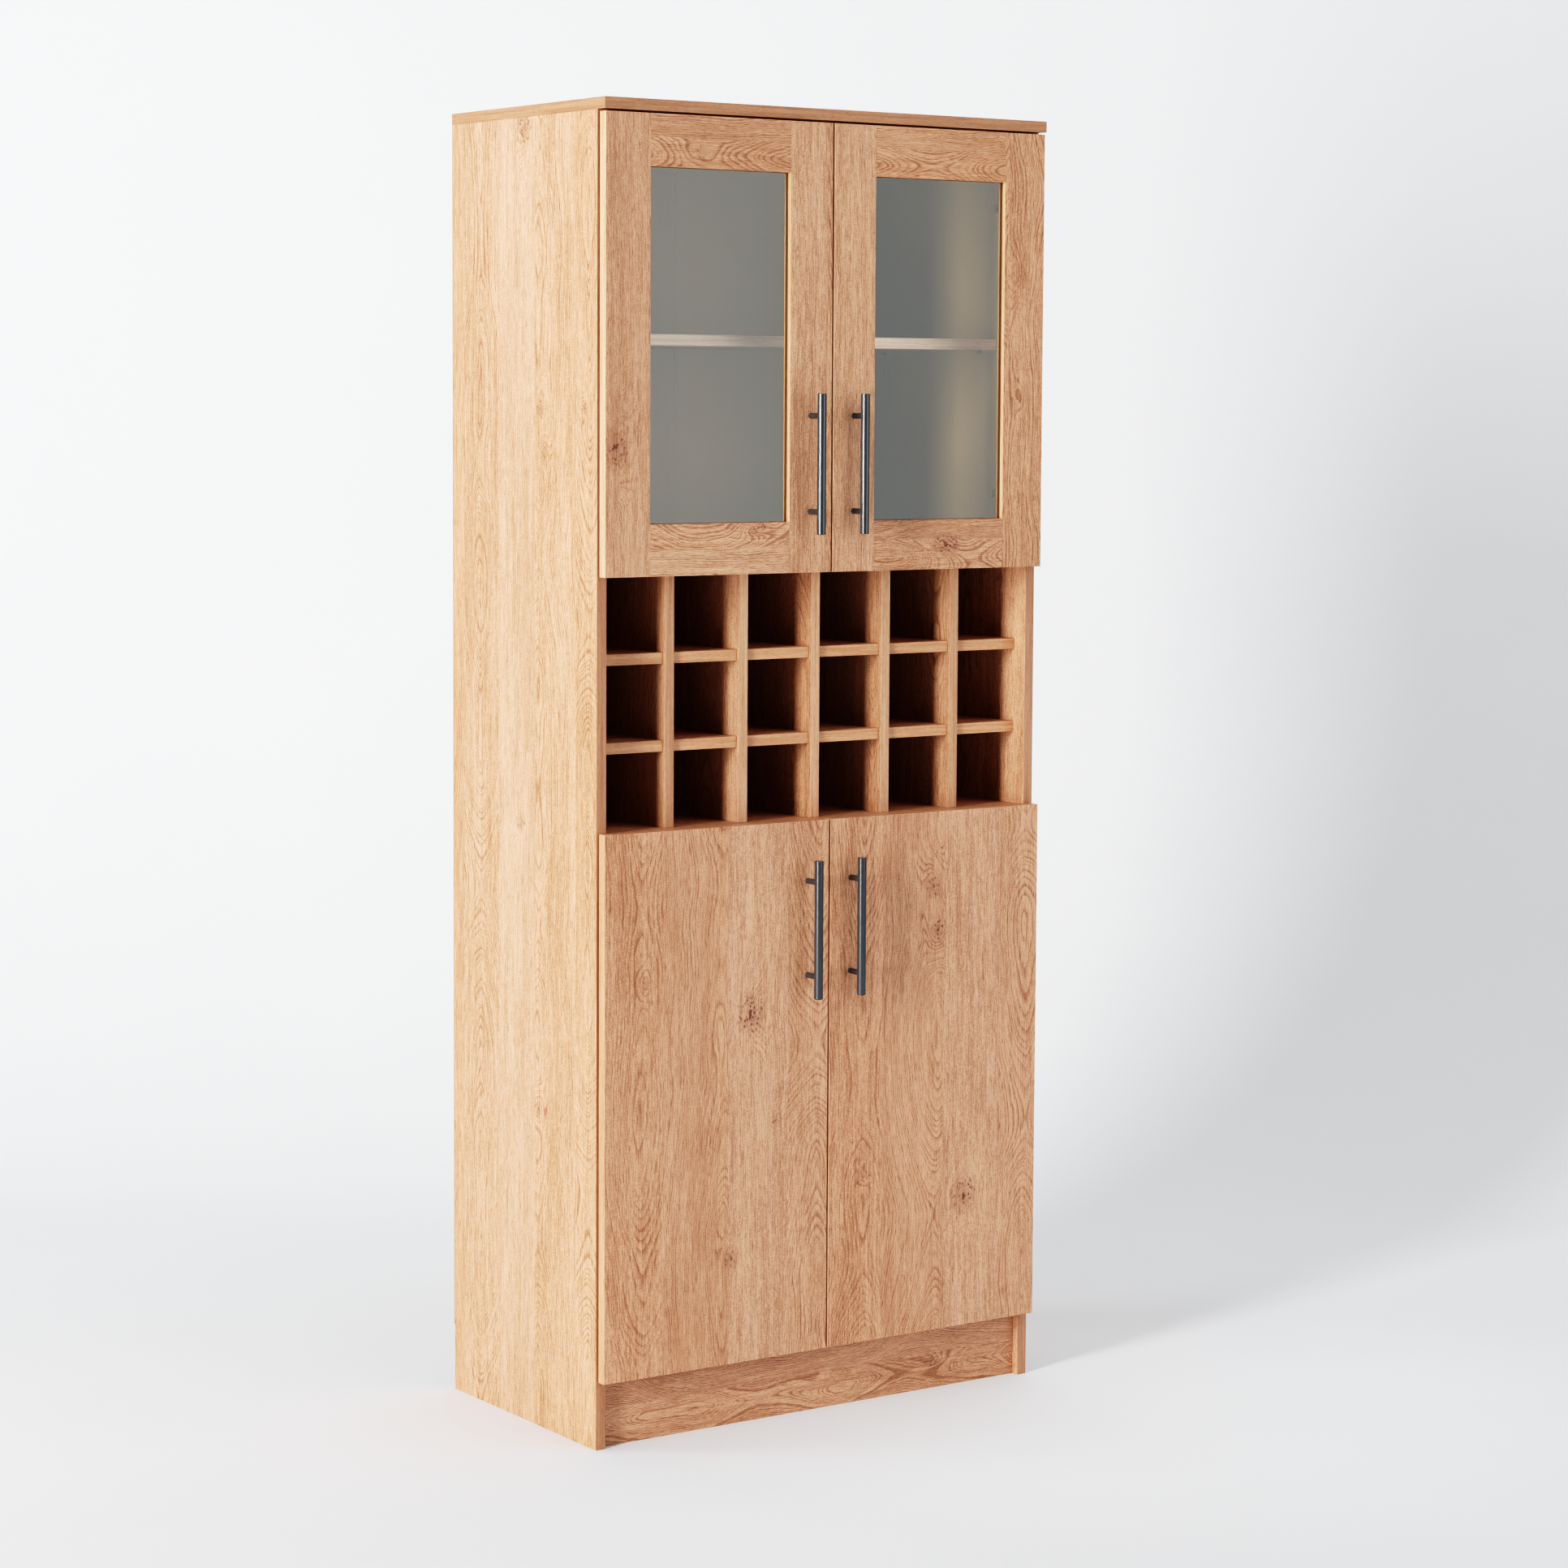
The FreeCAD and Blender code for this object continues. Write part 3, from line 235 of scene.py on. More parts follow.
def make_band():
    """Edge banding: fine straight grain along the edge."""
    g, n, gi, go = group("OakBand", [("Across", F, 0), ("Along", F, 0), ("Seed", F, 0)],
                         [("Color", COL), ("Height", F)])
    a, l, seed = gi["Across"], gi["Along"], gi["Seed"]
    f1 = n.noise(n.vec(n.m("MULTIPLY", a, 1 / 0.9), n.m("MULTIPLY", l, 1 / 40.0), seed), 1.0, 2.0, 0.6)
    f2 = n.noise(n.vec(n.m("MULTIPLY", a, 1 / 4.0), n.m("MULTIPLY", l, 1 / 170.0), n.m("ADD", seed, 4.0)), 1.0, 1.0, 0.5)
    p = n.remap(n.noise(n.vec(n.m("MULTIPLY", a, 1 / 0.7), n.m("MULTIPLY", l, 1 / 8.0), n.m("ADD", seed, 8.0)), 1.0, 1.0, 0.6),
                0.58, 0.75, 0.0, 0.32)
    f3 = n.noise(n.vec(n.m("MULTIPLY", a, 1 / 1.1), n.m("MULTIPLY", l, 1 / 9.0), n.m("ADD", seed, 2.0)), 1.0, 1.0, 0.6)
    tone = n.m("ADD", n.m("ADD", n.m("MULTIPLY", n.m("SUBTRACT", f1, 0.5), 1.5), n.m("MULTIPLY", n.m("SUBTRACT", f3, 0.5), 1.0)),
               n.m("MULTIPLY_ADD", n.m("SUBTRACT", f2, 0.5), 1.6, 0.45), clamp=True)
    col = n.mixc(tone, lin(219, 171, 137), lin(187, 137, 104))
    col = n.mixc(p, col, OAK_PORE)
    n.put(go["Color"], col)
    n.put(go["Height"], n.m("SUBTRACT", 1.0, p))
    return g


DECOR, KNOT, BAND = make_decor(), make_knot(), make_band()
AX = {"x": 0, "y": 1, "z": 2}


def oak(name, normal, grain, off=(0.0, 0.0), seed=0.0, knots=(), flip=1, strength=1.0, streak=1.0, tint=None, edge=None, scale=1.0,
        calm=None, joint=None, ior=1.45, polish=0.5):
    """Material of one board.  normal is the axis square to its faces, grain the axis of
    its grain; off shifts the print (across, along) in millimetres and knots are
    (across, along, size, darkness) in the board's own millimetres.  calm is (side, from
    height, share, colour) for a quieter inner face, polish the roughness of the edge band.
    edge multiplies the edge band colour: painted highlight where it lifts the band, painted
    shade where it darkens it.  The gap shading argument is (side, tint) for the edge that
    meets the neighbouring door: painted shade in the gap where the tint is below one,
    painted light there where it is above one.  tint multiplies the whole colour."""
    mat = bpy.data.materials.new(name)
    mat.use_nodes = True
    n = Net(mat.node_tree)
    cross = ({"x", "y", "z"} - {normal, grain}).pop()
    tc = n.add("ShaderNodeTexCoord")
    pos = n.add("ShaderNodeSeparateXYZ"); n.put(pos.inputs[0], tc.outputs["Object"])
    nor = n.add("ShaderNodeSeparateXYZ"); n.put(nor.inputs[0], tc.outputs["Normal"])
    mm = {k: n.m("MULTIPLY", pos.outputs[AX[k]], 1000.0) for k in "xyz"}
    u0, v0 = mm[cross], mm[grain]
    side = n.m("SIGN", nor.outputs[AX[normal]])
    # the rear face carries another part of the print
    shift = n.m("MULTIPLY", n.m("SUBTRACT", side, float(flip)), 61.0 * flip)
    u = n.m("ADD", n.m("ADD", u0, off[0]), shift)
    v = n.m("ADD", n.m("ADD", v0, off[1]), n.m("MULTIPLY", shift, 4.0))
    d = n.add("ShaderNodeGroup", node_tree=DECOR)
    if scale != 1.0:
        u, v = n.m("MULTIPLY", u, scale), n.m("MULTIPLY", v, scale)
    n.put(d.inputs["U"], u); n.put(d.inputs["V"], v)
    d.inputs["Seed"].default_value = seed
    d.inputs["Strength"].default_value = strength
    d.inputs["Streak"].default_value = streak
    push = dark = None
    for ku, kv, size, dk in knots:
        k = n.add("ShaderNodeGroup", node_tree=KNOT)
        n.put(k.inputs["U"], u0); n.put(k.inputs["V"], v0)
        k.inputs["KU"].default_value, k.inputs["KV"].default_value = ku, kv
        k.inputs["Size"].default_value, k.inputs["Dark"].default_value = size, dk
        push = k.outputs[0] if push is None else n.m("ADD", push, k.outputs[0])
        dark = k.outputs[1] if dark is None else n.m("MAXIMUM", dark, k.outputs[1])
    if knots:
        front = n.m("GREATER_THAN", n.m("MULTIPLY", side, float(flip)), 0.0)
        n.put(d.inputs["Push"], n.m("MULTIPLY", push, front))
        n.put(d.inputs["Knot"], n.m("MULTIPLY", dark, front))
    b = n.add("ShaderNodeGroup", node_tree=BAND)
    endgate = n.m("GREATER_THAN", n.m("ABSOLUTE", nor.outputs[AX[grain]]), 0.6)
    n.put(b.inputs["Across"], mm[normal])
    n.put(b.inputs["Along"], n.mixf(endgate, v0, u0))
    b.inputs["Seed"].default_value = seed + 2.0
    face = n.m("GREATER_THAN", n.m("ABSOLUTE", nor.outputs[AX[normal]]), 0.9)
    # edge multiplies the band colour: values above one are a painted highlight, values below one painted shade
    band = n.mixc(1.0, b.outputs["Color"], edge, "MULTIPLY") if edge else b.outputs["Color"]
    # painted gap shading: the band facing the neighbouring door is multiplied by a tint, darker for painted shade in
    # the gap, lighter for painted light
    if joint:
        meets = n.m("GREATER_THAN", n.m("MULTIPLY", nor.outputs[AX[cross]], joint[0]), 0.6)
        band = n.mixc(meets, band, n.mixc(1.0, band, joint[1], "MULTIPLY"))
    main = d.outputs["Color"]
    if calm:
        inner = n.m("MULTIPLY", n.m("GREATER_THAN", n.m("MULTIPLY", side, calm[0]), 0.0), n.m("GREATER_THAN", mm["z"], calm[1]))
        main = n.mixc(n.m("MULTIPLY", inner, calm[2]), main, calm[3])
    col = n.mixc(face, band, main)
    if tint:
        col = n.mixc(1.0, col, tint, "MULTIPLY")
    hgt = n.mixf(face, b.outputs["Height"], d.outputs["Height"])
    bump = n.add("ShaderNodeBump")
    bump.inputs["Strength"].default_value = 0.22
    bump.inputs["Distance"].default_value = 0.0003
    n.put(bump.inputs["Height"], hgt)
    bs = n.add("ShaderNodeBsdfPrincipled")
    n.put(bs.inputs["Base Color"], col)
    n.put(bs.inputs["Roughness"], n.mixf(face, polish, d.outputs["Rough"]))
    bs.inputs["IOR"].default_value = ior
    n.put(bs.inputs["Normal"], bump.outputs[0])
    out = n.add("ShaderNodeOutputMaterial")
    n.put(out.inputs[0], bs.outputs[0])
    return mat


def dress(node, mat):
    o = nodes[node]
    o.data.materials.clear()
    o.data.materials.append(mat)


def make_arris_marks():
    """Geometry nodes that mark the long outer edges of a board for the bevel: edges that
    run along one axis and whose ends lie on two faces of the board's own box."""
    g = bpy.data.node_groups.new("ArrisMarks", "GeometryNodeTree")
    g.interface.new_socket("Geometry", in_out="INPUT", socket_type="NodeSocketGeometry")
    g.interface.new_socket("Geometry", in_out="OUTPUT", socket_type="NodeSocketGeometry")
    n = Net(g)
    gi, go = n.add("NodeGroupInput"), n.add("NodeGroupOutput")
    weld = n.add("GeometryNodeMergeByDistance")
    n.put(weld.inputs["Geometry"], gi.outputs[0])
    weld.inputs["Distance"].default_value = 0.00002
    box = n.add("GeometryNodeBoundBox")
    n.put(box.inputs[0], weld.outputs[0])
    ends = n.add("GeometryNodeInputMeshEdgeVertices")
    comps = []
    for sock in (ends.outputs["Position 1"], ends.outputs["Position 2"], box.outputs["Min"], box.outputs["Max"]):
        c = n.add("ShaderNodeSeparateXYZ")
        n.put(c.inputs[0], sock)
        comps.append(c.outputs)
    p1, p2, lo, hi = comps
    still, touch = None, None
    for i in range(3):
        same = n.m("COMPARE", p1[i], p2[i], 0.00002)
        low = n.m("COMPARE", p1[i], lo[i], 0.00003)
        high = n.m("COMPARE", p1[i], hi[i], 0.00003)
        on = n.m("MULTIPLY", same, n.m("MAXIMUM", low, high))
        still = same if still is None else n.m("ADD", still, same)
        touch = on if touch is None else n.m("ADD", touch, on)
    mark = n.m("MULTIPLY", n.m("GREATER_THAN", still, 1.5), n.m("GREATER_THAN", touch, 1.5))
    store = n.add("GeometryNodeStoreNamedAttribute", data_type="FLOAT", domain="EDGE")
    n.put(store.inputs["Geometry"], weld.outputs[0])
    store.inputs["Name"].default_value = "bevel_weight_edge"
    n.put(store.inputs["Value"], mark)
    # every other corner stays crisp
    angle = n.add("GeometryNodeInputMeshEdgeAngle")
    crisp = n.m("MULTIPLY", n.m("SUBTRACT", 1.0, mark), n.m("GREATER_THAN", angle.outputs[0], 0.5))
    keep = n.add("GeometryNodeStoreNamedAttribute", data_type="BOOLEAN", domain="EDGE")
    n.put(keep.inputs["Geometry"], store.outputs[0])
    keep.inputs["Name"].default_value = "sharp_edge"
    n.put(keep.inputs["Value"], crisp)
    n.put(go.inputs[0], keep.outputs[0])
    return g


ARRIS = make_arris_marks()


def soften(node, width, segments=2):
    """Rounds the outer arrises of a carried CAD board."""
    o = nodes[node]
    w = o.modifiers.new("marks", "NODES")
    w.node_group = ARRIS
    b = o.modifiers.new("arris", "BEVEL")
    b.width, b.segments, b.limit_method = width, segments, "WEIGHT"
    b.use_clamp_overlap = False
    wn = o.modifiers.new("flat", "WEIGHTED_NORMAL")
    wn.mode, wn.weight, wn.keep_sharp = "FACE_AREA", 90, True


# ------------------------------------------------------------ board finishes
# left and right lower doors: the same sheet position, shifted along the grain
FRONT = dict(flip=-1)
# the lower doors' meeting edges carry painted light: a lighter edge band where the gap between the doors is
dress("lower_left_door_panel", oak("oak_lower_left", "y", "z", (358.0, 0.0), 1.3,
      [(-127, 563, 15, 1.0), (-158, 236, 9, 0.85), (-296, 620, 5, 0.6), (-88, 415, 4, 0.7)], strength=0.86, tint=(0.965, 0.955, 0.975), joint=(1.0, (1.15, 1.32, 1.42)), **FRONT))
dress("lower_right_door_panel", oak("oak_lower_right", "y", "z", (-1.0, 900.0), 1.3,
      [(176, 715, 9, 0.8), (185, 654, 9, 1.0), (233, 276, 15, 1.0), (60, 330, 4, 0.7)], strength=0.86, tint=(0.965, 0.955, 0.975), joint=(-1.0, (1.15, 1.32, 1.42)), **FRONT))
# upper stiles and rails: edge lifts the edge band as a painted highlight on the lit arrises and jambs; the meeting
# stiles also carry painted shade on the band in the gap between the doors
dress("upper_left_hinge_stile", oak("oak_ul_hinge", "y", "z", (552.0, 300.0), 2.1, streak=0.85, knots= [(-344, 1323, 14, 0.95)], tint=(0.95, 0.94, 0.94), edge=(1.18, 1.30, 1.36), **FRONT))
dress("upper_left_meeting_stile", oak("oak_ul_meeting", "y", "z", (300.0, 700.0), 3.4, streak=0.85, strength=1.3, edge=(1.18, 1.30, 1.36), joint=(1.0, (0.84, 0.92, 0.98)), **FRONT))
dress("upper_right_meeting_stile", oak("oak_ur_meeting", "y", "z", (200.0, 1500.0), 4.6, streak=0.85, strength=1.2, edge=(1.18, 1.30, 1.36), joint=(-1.0, (0.84, 0.92, 0.98)), **FRONT))
dress("upper_right_hinge_stile", oak("oak_ur_hinge", "y", "z", (-205.0, 2500.0), 5.9, [(316, 1556, 9, 0.45), (322, 1392, 6, 0.3)], strength=1.2, streak=0.9, edge=(1.18, 1.30, 1.36), **FRONT))
dress("upper_left_top_rail", oak("oak_ul_top", "y", "x", (-1660.0, 300.0), 6.3, [(1705, -213, 8, 0.55)], strength=1.4, streak=0.8, tint=(0.96, 0.96, 0.97), edge=(1.1, 1.15, 1.2), scale=1.45, **FRONT))
dress("upper_right_top_rail", oak("oak_ur_top", "y", "x", (-1660.0, 900.0), 7.2, strength=1.4, streak=0.8, edge=(1.1, 1.15, 1.2), scale=1.45, **FRONT))
dress("upper_left_bottom_rail", oak("oak_ul_bottom", "y", "x", (-946.0, 1500.0), 8.8, [(1215, -114, 4, 0.9), (1210, -127, 4, 0.8)], strength=2.6, streak=1.0, scale=1.2, tint=(1.02, 1.03, 1.04), edge=(1.1, 1.15, 1.2), **FRONT))
dress("upper_right_bottom_rail", oak("oak_ur_bottom", "y", "x", (-1130.0, 2100.0), 9.5, [(1186, 193, 12, 0.95)], strength=1.5, scale=1.4, tint=(0.96, 0.96, 0.98), edge=(1.1, 1.15, 1.2), **FRONT))
dress("plinth_board", oak("oak_plinth", "y", "x", (8.0, 200.0), 10.4, [(37, 202, 8, 0.7), (39, 9, 9, 0.15)], strength=1.75, streak=1.0, tint=(0.955, 0.97, 1.01), scale=1.55, **FRONT))
# side panels and top: edge darkens the edge band, painted shade on their front edges
dress("left_side_panel", oak("oak_left_side", "x", "z", (164.5 + 38.0, 500.0), 11.7,
      [(18, 1743, 13, 1.0), (-21, 1372, 6, 0.9), (-30, 1310, 7, 0.5), (-134, 1372, 5, 0.9), (30, 817, 8, 1.0), (-17, 434, 7, 1.0)],
      flip=-1, strength=0.95, tint=(1.0, 1.005, 1.0), edge=(0.71, 0.67, 0.69)))
dress("right_side_panel", oak("oak_right_side", "x", "z", (164.5 + 200.0, 1900.0), 12.6, [(-105, 1135, 6, 0.7)], flip=-1, edge=(0.77, 0.76, 0.81),
      calm=(-1.0, 1180.0, 0.85, lin(181, 151, 108))))
dress("top_panel", oak("oak_top", "z", "x", (182.0, 0.0), 13.2, flip=1, edge=(0.70, 0.68, 0.68)))
for i, k in enumerate(("upper_cabinet_floor", "rack_floor_board", "bottom_board", "upper_shelf", "lower_shelf",
                       "rack_shelf_lower", "rack_shelf_upper")):
    # the upper shelf's front edge band is lifted well above the oak colour: painted light on the edge behind the glass
    painted_light_edge = dict(edge=(1.36, 1.58, 1.80), ior=1.8, polish=0.5) if k == "upper_shelf" else {}
    dress(k, oak("oak_" + k, "z", "x", (60.0 + 97.0 * i, 400.0 * i), 14.1 + i, flip=1, **painted_light_edge))
for i in range(1, 6):
    k = "rack_divider_%d" % i
    # painted highlight on the divider fronts (rim lifts the edge band) and painted shade on the cell walls (tint
    # darkens the faces)
    rim = {1: (1.08, 1.13, 1.17), 3: (1.33, 1.41, 1.54), 5: (1.19, 1.26, 1.33)}.get(i, (1.27, 1.39, 1.51))
    dress(k, oak("oak_" + k, "x", "z", (120.0 + 143.0 * i, 700.0 * i), 24.3 + i, flip=-1, strength=0.65,
                 tint=(0.79, 0.79, 0.79), edge=rim))


# a small radius on every arris that catches light
for k in list(nodes):
    if ("panel" in k or "stile" in k or "rail" in k or "divider" in k or "shelf" in k or k.endswith("_board") or k == "upper_cabinet_floor") \
            and not k.startswith("back_panel") and k != "shelf_pins":
        soften(k, 0.00035 if k.startswith(("upper_left_", "upper_right_", "lower_left_", "lower_right_")) else 0.0006)


# ------------------------------------------------------- thin rear panels
def back_mat():
    mat = bpy.data.materials.new("hardboard_print")
    mat.use_nodes = True
    n = Net(mat.node_tree)
    tc = n.add("ShaderNodeTexCoord")
    pos = n.add("ShaderNodeSeparateXYZ"); n.put(pos.inputs[0], tc.outputs["Object"])
    nor = n.add("ShaderNodeSeparateXYZ"); n.put(nor.inputs[0], tc.outputs["Normal"])
    x = n.m("MULTIPLY", pos.outputs[0], 1000.0); z = n.m("MULTIPLY", pos.outputs[2], 1000.0)
    d = n.add("ShaderNodeGroup", node_tree=DECOR)
    n.put(d.inputs["U"], n.m("ADD", x, 130.0)); n.put(d.inputs["V"], z)
    d.inputs["Seed"].default_value = 33.0; d.inputs["Strength"].default_value = 0.25; d.inputs["Streak"].default_value = 0.35
    # pressed fibres: short hairs in two directions, a fine speckle and a faint cloud
    speck = n.noise(tc.outputs["Object"], 700.0, 3.0, 0.65)
    hair_a = n.noise(n.vec(n.m("MULTIPLY", x, 1 / 1.0), n.m("MULTIPLY", z, 1 / 7.0), 1.0), 1.0, 2.0, 0.6, 1.2)
    hair_b = n.noise(n.vec(n.m("MULTIPLY", x, 1 / 6.0), n.m("MULTIPLY", z, 1 / 1.1), 5.0), 1.0, 2.0, 0.6, 1.2)
    cloud = n.noise(tc.outputs["Object"], 5.0, 3.0, 0.5)
    tone = n.m("ADD", n.m("MULTIPLY", n.m("SUBTRACT", speck, 0.5), 1.3), n.m("MULTIPLY", n.m("SUBTRACT", n.m("MAXIMUM", hair_a, hair_b), 0.58), 1.6))
    tone = n.m("ADD", tone, n.m("MULTIPLY_ADD", n.m("SUBTRACT", cloud, 0.5), 0.35, 0.5), clamp=True)
    raw = n.mixc(tone, lin(186, 158, 128), lin(150, 122, 94))
    inside = n.m("LESS_THAN", nor.outputs[1], -0.5)
    bs = n.add("ShaderNodeBsdfPrincipled")
    calm = n.mixc(0.88, d.outputs["Color"], n.mixc(n.m("GREATER_THAN", z, 1180.0), lin(222, 175, 137), lin(190, 157, 124)))
    n.put(bs.inputs["Base Color"], n.mixc(inside, raw, calm))
    n.put(bs.inputs["Roughness"], n.mixf(inside, 0.82, 0.55))
    bump = n.add("ShaderNodeBump"); bump.inputs["Strength"].default_value = 0.3; bump.inputs["Distance"].default_value = 0.0003
    n.put(bump.inputs["Height"], speck); n.put(bs.inputs["Normal"], bump.outputs[0])
    out = n.add("ShaderNodeOutputMaterial"); n.put(out.inputs[0], bs.outputs[0])
    return mat


BACK = back_mat()
for k in ("back_panel_left", "back_panel_right"):
    dress(k, BACK)


# ---------------------------------------------------------------- glass
def glass_mat(name, ior):
    mat = bpy.data.materials.new(name)
    mat.use_nodes = True
    n = Net(mat.node_tree)
    tr = n.add("ShaderNodeBsdfTransparent"); tr.inputs[0].default_value = (0.955, 0.975, 0.970, 1)
    gl = n.add("ShaderNodeBsdfGlossy"); gl.inputs["Roughness"].default_value = 0.09
    gl.inputs["Color"].default_value = (0.91, 0.99, 0.98, 1)
    fr = n.add("ShaderNodeFresnel"); fr.inputs["IOR"].default_value = ior
    geo = n.add("ShaderNodeNewGeometry")
    fac = n.m("MULTIPLY", fr.outputs[0], n.m("SUBTRACT", 1.0, geo.outputs["Backfacing"]))
    tc = n.add("ShaderNodeTexCoord")
    wave = n.noise(tc.outputs["Object"], 3.0, 0.0, 0.5)
    bump = n.add("ShaderNodeBump"); bump.inputs["Strength"].default_value = 0.01; bump.inputs["Distance"].default_value = 0.001
    n.put(bump.inputs["Height"], wave)
    n.put(gl.inputs["Normal"], bump.outputs[0])
    mx = n.add("ShaderNodeMixShader")
    n.put(mx.inputs[0], fac); n.put(mx.inputs[1], tr.outputs[0]); n.put(mx.inputs[2], gl.outputs[0])
    out = n.add("ShaderNodeOutputMaterial"); n.put(out.inputs[0], mx.outputs[0])
    return mat


dress("upper_left_glass", glass_mat("clear_pane_left", 2.04))
dress("upper_right_glass", glass_mat("clear_pane_right", 1.94))


# --------------------------------------------------- metal, rubber, plastic
def metal(name, color, rough, metallic=1.0, grain=(1.0, 1.0, 1.0), depth=0.05, spread=0.08, ior=1.5):
    mat = bpy.data.materials.new(name)
    mat.use_nodes = True
    n = Net(mat.node_tree)
    tc = n.add("ShaderNodeTexCoord")
    mp = n.add("ShaderNodeMapping"); mp.inputs["Scale"].default_value = grain
    n.put(mp.inputs["Vector"], tc.outputs["Object"])
    f = n.noise(mp.outputs[0], 900.0, 2.0, 0.6)
    c = n.noise(tc.outputs["Object"], 60.0, 2.0, 0.5)
    bs = n.add("ShaderNodeBsdfPrincipled")
    n.put(bs.inputs["Base Color"], n.mixc(c, tuple(v * 0.86 for v in color), tuple(min(v * 1.14, 1.0) for v in color)))
    bs.inputs["Metallic"].default_value = metallic
    bs.inputs["IOR"].default_value = ior
    n.put(bs.inputs["Roughness"], n.m("MULTIPLY_ADD", f, spread, rough - spread / 2))
    bump = n.add("ShaderNodeBump"); bump.inputs["Strength"].default_value = depth; bump.inputs["Distance"].default_value = 0.0002
    n.put(bump.inputs["Height"], f); n.put(bs.inputs["Normal"], bump.outputs[0])
    out = n.add("ShaderNodeOutputMaterial"); n.put(out.inputs[0], bs.outputs[0])
    return mat


HANDLE = metal("gunmetal_satin", (0.052, 0.057, 0.063), 0.19, 0.0, (1.0, 1.0, 0.05), 0.004, 0.02, 1.80)
NICKEL = metal("nickel_plate", (0.62, 0.61, 0.58), 0.26)
ZINC = metal("zinc_plate", (0.55, 0.54, 0.52), 0.36)
SEAL = metal("glazing_bead", (0.24, 0.115, 0.05), 0.5, 0.0)
BUMP = metal("clear_bumper", (0.70, 0.70, 0.66), 0.25, 0.0)
BEECH = metal("beech_dowel", (0.55, 0.38, 0.22), 0.6, 0.0, (1.0, 1.0, 0.1))
for k, o in nodes.items():
    if k.endswith("_handle"):
        dress(k, HANDLE)
    elif k.endswith("_glazing_seal"):
        dress(k, SEAL)
    elif k.endswith("_screws"):
        dress(k, ZINC)
    elif k.endswith("_hinge_cups") or k.endswith("_hinge_links") or k in ("hinge_arms", "hinge_mounting_plates", "shelf_pins", "cam_locks", "cam_bolts"):
        dress(k, NICKEL)
dress("door_bumpers", BUMP)
dress("wood_dowels", BEECH)

# ------------------------------------------------------------------ camera
cam_data = bpy.data.cameras.new("camera")
cam = bpy.data.objects.new("camera", cam_data)
scene.collection.objects.link(cam)
R = Vector((0.8239107825299358, -0.5666939493796692, 0.005384251794043246))
UP = Vector((0.042176613256678416, 0.07078901712500646, 0.996599241595473))
FW = Vector((0.5651479060609756, 0.8208817715060729, -0.0822250660318751))
cam.matrix_world = Matrix(((R.x, UP.x, -FW.x, -2.9165811), (R.y, UP.y, -FW.y, -4.3067521),
                           (R.z, UP.z, -FW.z, 1.3896031), (0, 0, 0, 1)))
cam_data.sensor_width = 36.0
cam_data.lens = 4628.8167 / 1932.0 * 36.0
cam_data.shift_y = (869.4 - 966.0) / 1932.0
cam_data.clip_start, cam_data.clip_end = 0.05, 100.0
scene.camera = cam

# ------------------------------------------------------------------ studio
flat = Vector((FW.x, FW.y, 0)).normalized()
across = Vector((flat.y, -flat.x, 0))
profile = [(0.2, 0.0), (6.2, 0.0)]
for i in range(1, 17):
    a = math.radians(90 * i / 16)
    profile.append((6.2 + 0.9 * math.sin(a), 0.9 - 0.9 * math.cos(a)))
profile += [(7.1, 7.0)]
verts, faces = [], []
for d, z in profile:
    for w in (-3.7, 4.4):
        p = Vector((cam.location.x, cam.location.y, 0)) + flat * d + across * w
        verts.append((p.x, p.y, z))
for i in range(len(profile) - 1):
    faces.append((2 * i, 2 * i + 1, 2 * i + 3, 2 * i + 2))
me = bpy.data.meshes.new("studio_sweep")
me.from_pydata(verts, [], faces)
me.polygons.foreach_set("use_smooth", [True] * len(me.polygons))
sweep = bpy.data.objects.new("studio_sweep", me)
scene.collection.objects.link(sweep)
sm = bpy.data.materials.new("studio_paper")
sm.use_nodes = True
n = Net(sm.node_tree)
bs = n.add("ShaderNodeBsdfPrincipled")
tc = n.add("ShaderNodeTexCoord")
mott = n.noise(tc.outputs["Object"], 3.0, 4.0, 0.6)
n.put(bs.inputs["Base Color"], n.mixc(mott, (0.795, 0.812, 0.835), (0.825, 0.842, 0.86)))
bs.inputs["Roughness"].default_value = 0.85
bs.inputs["Specular IOR Level"].default_value = 0.2
# the sweep is one-sided, so that it hides nothing when the cabinet is seen from behind
geo = n.add("ShaderNodeNewGeometry")
clear = n.add("ShaderNodeBsdfTransparent")
mx = n.add("ShaderNodeMixShader")
n.put(mx.inputs[0], geo.outputs["Backfacing"]); n.put(mx.inputs[1], bs.outputs[0]); n.put(mx.inputs[2], clear.outputs[0])
out = n.add("ShaderNodeOutputMaterial"); n.put(out.inputs[0], mx.outputs[0])
me.materials.append(sm)


def area(name, loc, target, w, h, power, color=(1, 1, 1)):
    d = bpy.data.lights.new(name, "AREA")
    d.shape, d.size, d.size_y, d.energy, d.color = "RECTANGLE", w, h, power, color
    o = bpy.data.objects.new(name, d)
    scene.collection.objects.link(o)
    o.location = loc
    o.rotation_euler = (Vector(target) - Vector(loc)).to_track_quat("-Z", "Y").to_euler()
    o.visible_camera = False
    return o


def polar(az, dist, z, about=(0.0, -0.17)):
    """A point round the cabinet: az in degrees from straight in front, positive to the right."""
    r = math.radians(az)
    return (about[0] + math.sin(r) * dist, about[1] - math.cos(r) * dist, z)


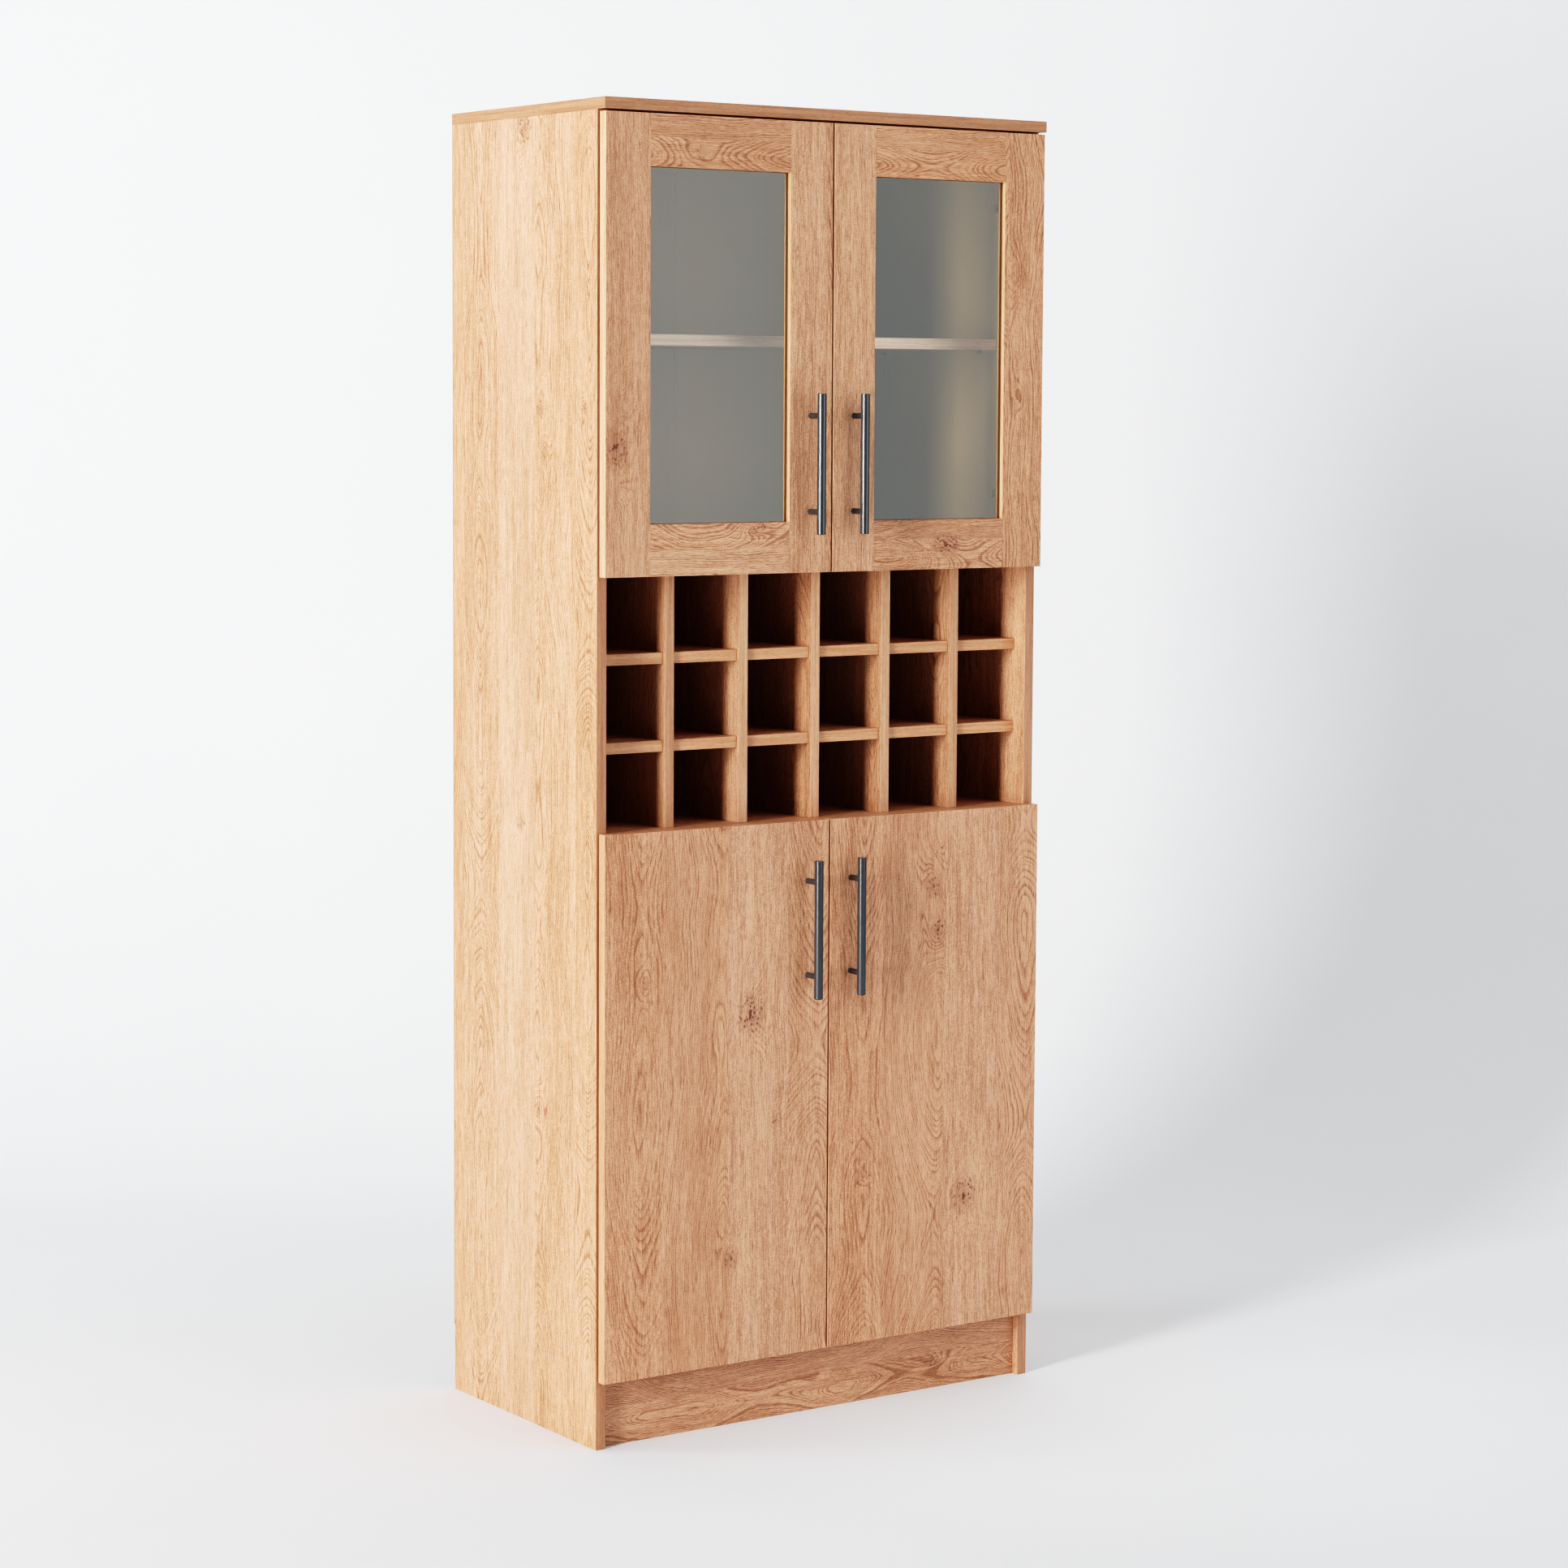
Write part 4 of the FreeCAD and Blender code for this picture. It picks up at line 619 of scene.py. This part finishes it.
area("key_strip", polar(-74.6, 6.0, 2.0), (0.0, -0.17, 1.1), 1.1, 3.8, 500.0, (1.0, 0.985, 0.965))
area("fill_screen", polar(31.0, 3.6, 1.8), (0.0, -0.17, 1.2), 3.2, 3.0, 57.0, (0.985, 0.995, 1.0))
area("top_screen", (0.3, -0.4, 3.6), (0.3, -0.4, 0.0), 3.4, 2.6, 43.0, (0.98, 0.99, 1.0))
wall = Vector((cam.location.x, cam.location.y, 0)) + flat * 7.0
back = wall - across * 2.7 - flat * 2.2
area("wall_wash", (back.x, back.y, 2.4), tuple(wall - across * 0.6 + Vector((0, 0, 0.4))), 1.2, 1.8, 34.0, (0.975, 0.985, 1.0))
area("floor_glow", (0.30, -1.05, 0.95), (0.25, -0.75, 0.0), 2.0, 0.7, 1.1, (0.90, 0.97, 1.0))
pool = area("floor_pool", (0.25, -0.62, 0.85), (0.25, -0.50, 0.0), 1.4, 0.4, 0.4, (0.88, 0.97, 1.0))
pool.data.spread = math.radians(70.0)
right = wall + across * 2.1 - flat * 1.3
area("wall_right", (right.x, right.y, 1.1), tuple(wall + across * 1.5 + Vector((0, 0, 0.75))), 1.0, 1.5, 2.6, (0.985, 0.99, 1.0))
world = bpy.data.worlds.new("studio")
scene.world = world
world.use_nodes = True
n = Net(world.node_tree)
dim = n.add("ShaderNodeBackground")
dim.inputs[0].default_value = (0.97, 0.985, 1.0, 1)
dim.inputs[1].default_value = 0.06
seen = n.add("ShaderNodeBackground")
seen.inputs[0].default_value = (0.97, 0.98, 1.0, 1)
seen.inputs[1].default_value = 0.80
ray = n.add("ShaderNodeLightPath")
mx = n.add("ShaderNodeMixShader")
n.put(mx.inputs[0], ray.outputs["Is Camera Ray"]); n.put(mx.inputs[1], dim.outputs[0]); n.put(mx.inputs[2], seen.outputs[0])
out = n.add("ShaderNodeOutputWorld"); n.put(out.inputs[0], mx.outputs[0])
scene.view_settings.view_transform = "Standard"
# a print-like tone curve: deep shadows close a little and highlights roll off
scene.view_settings.use_curve_mapping = True
curve = scene.view_settings.curve_mapping
curve.white_level = (1.5, 1.5, 1.5)
line = curve.curves[3]
for x, y in ((0.02, 0.003), (0.05, 0.011), (0.10, 0.041), (0.16, 0.096), (0.25, 0.198), (0.35, 0.318),
             (0.45, 0.432), (0.60, 0.575), (0.80, 0.70), (1.0, 0.80), (1.25, 0.885)):
    line.points.new(x / 1.5, y)
line.points[len(line.points) - 1].location = (1.0, 0.95)
curve.update()
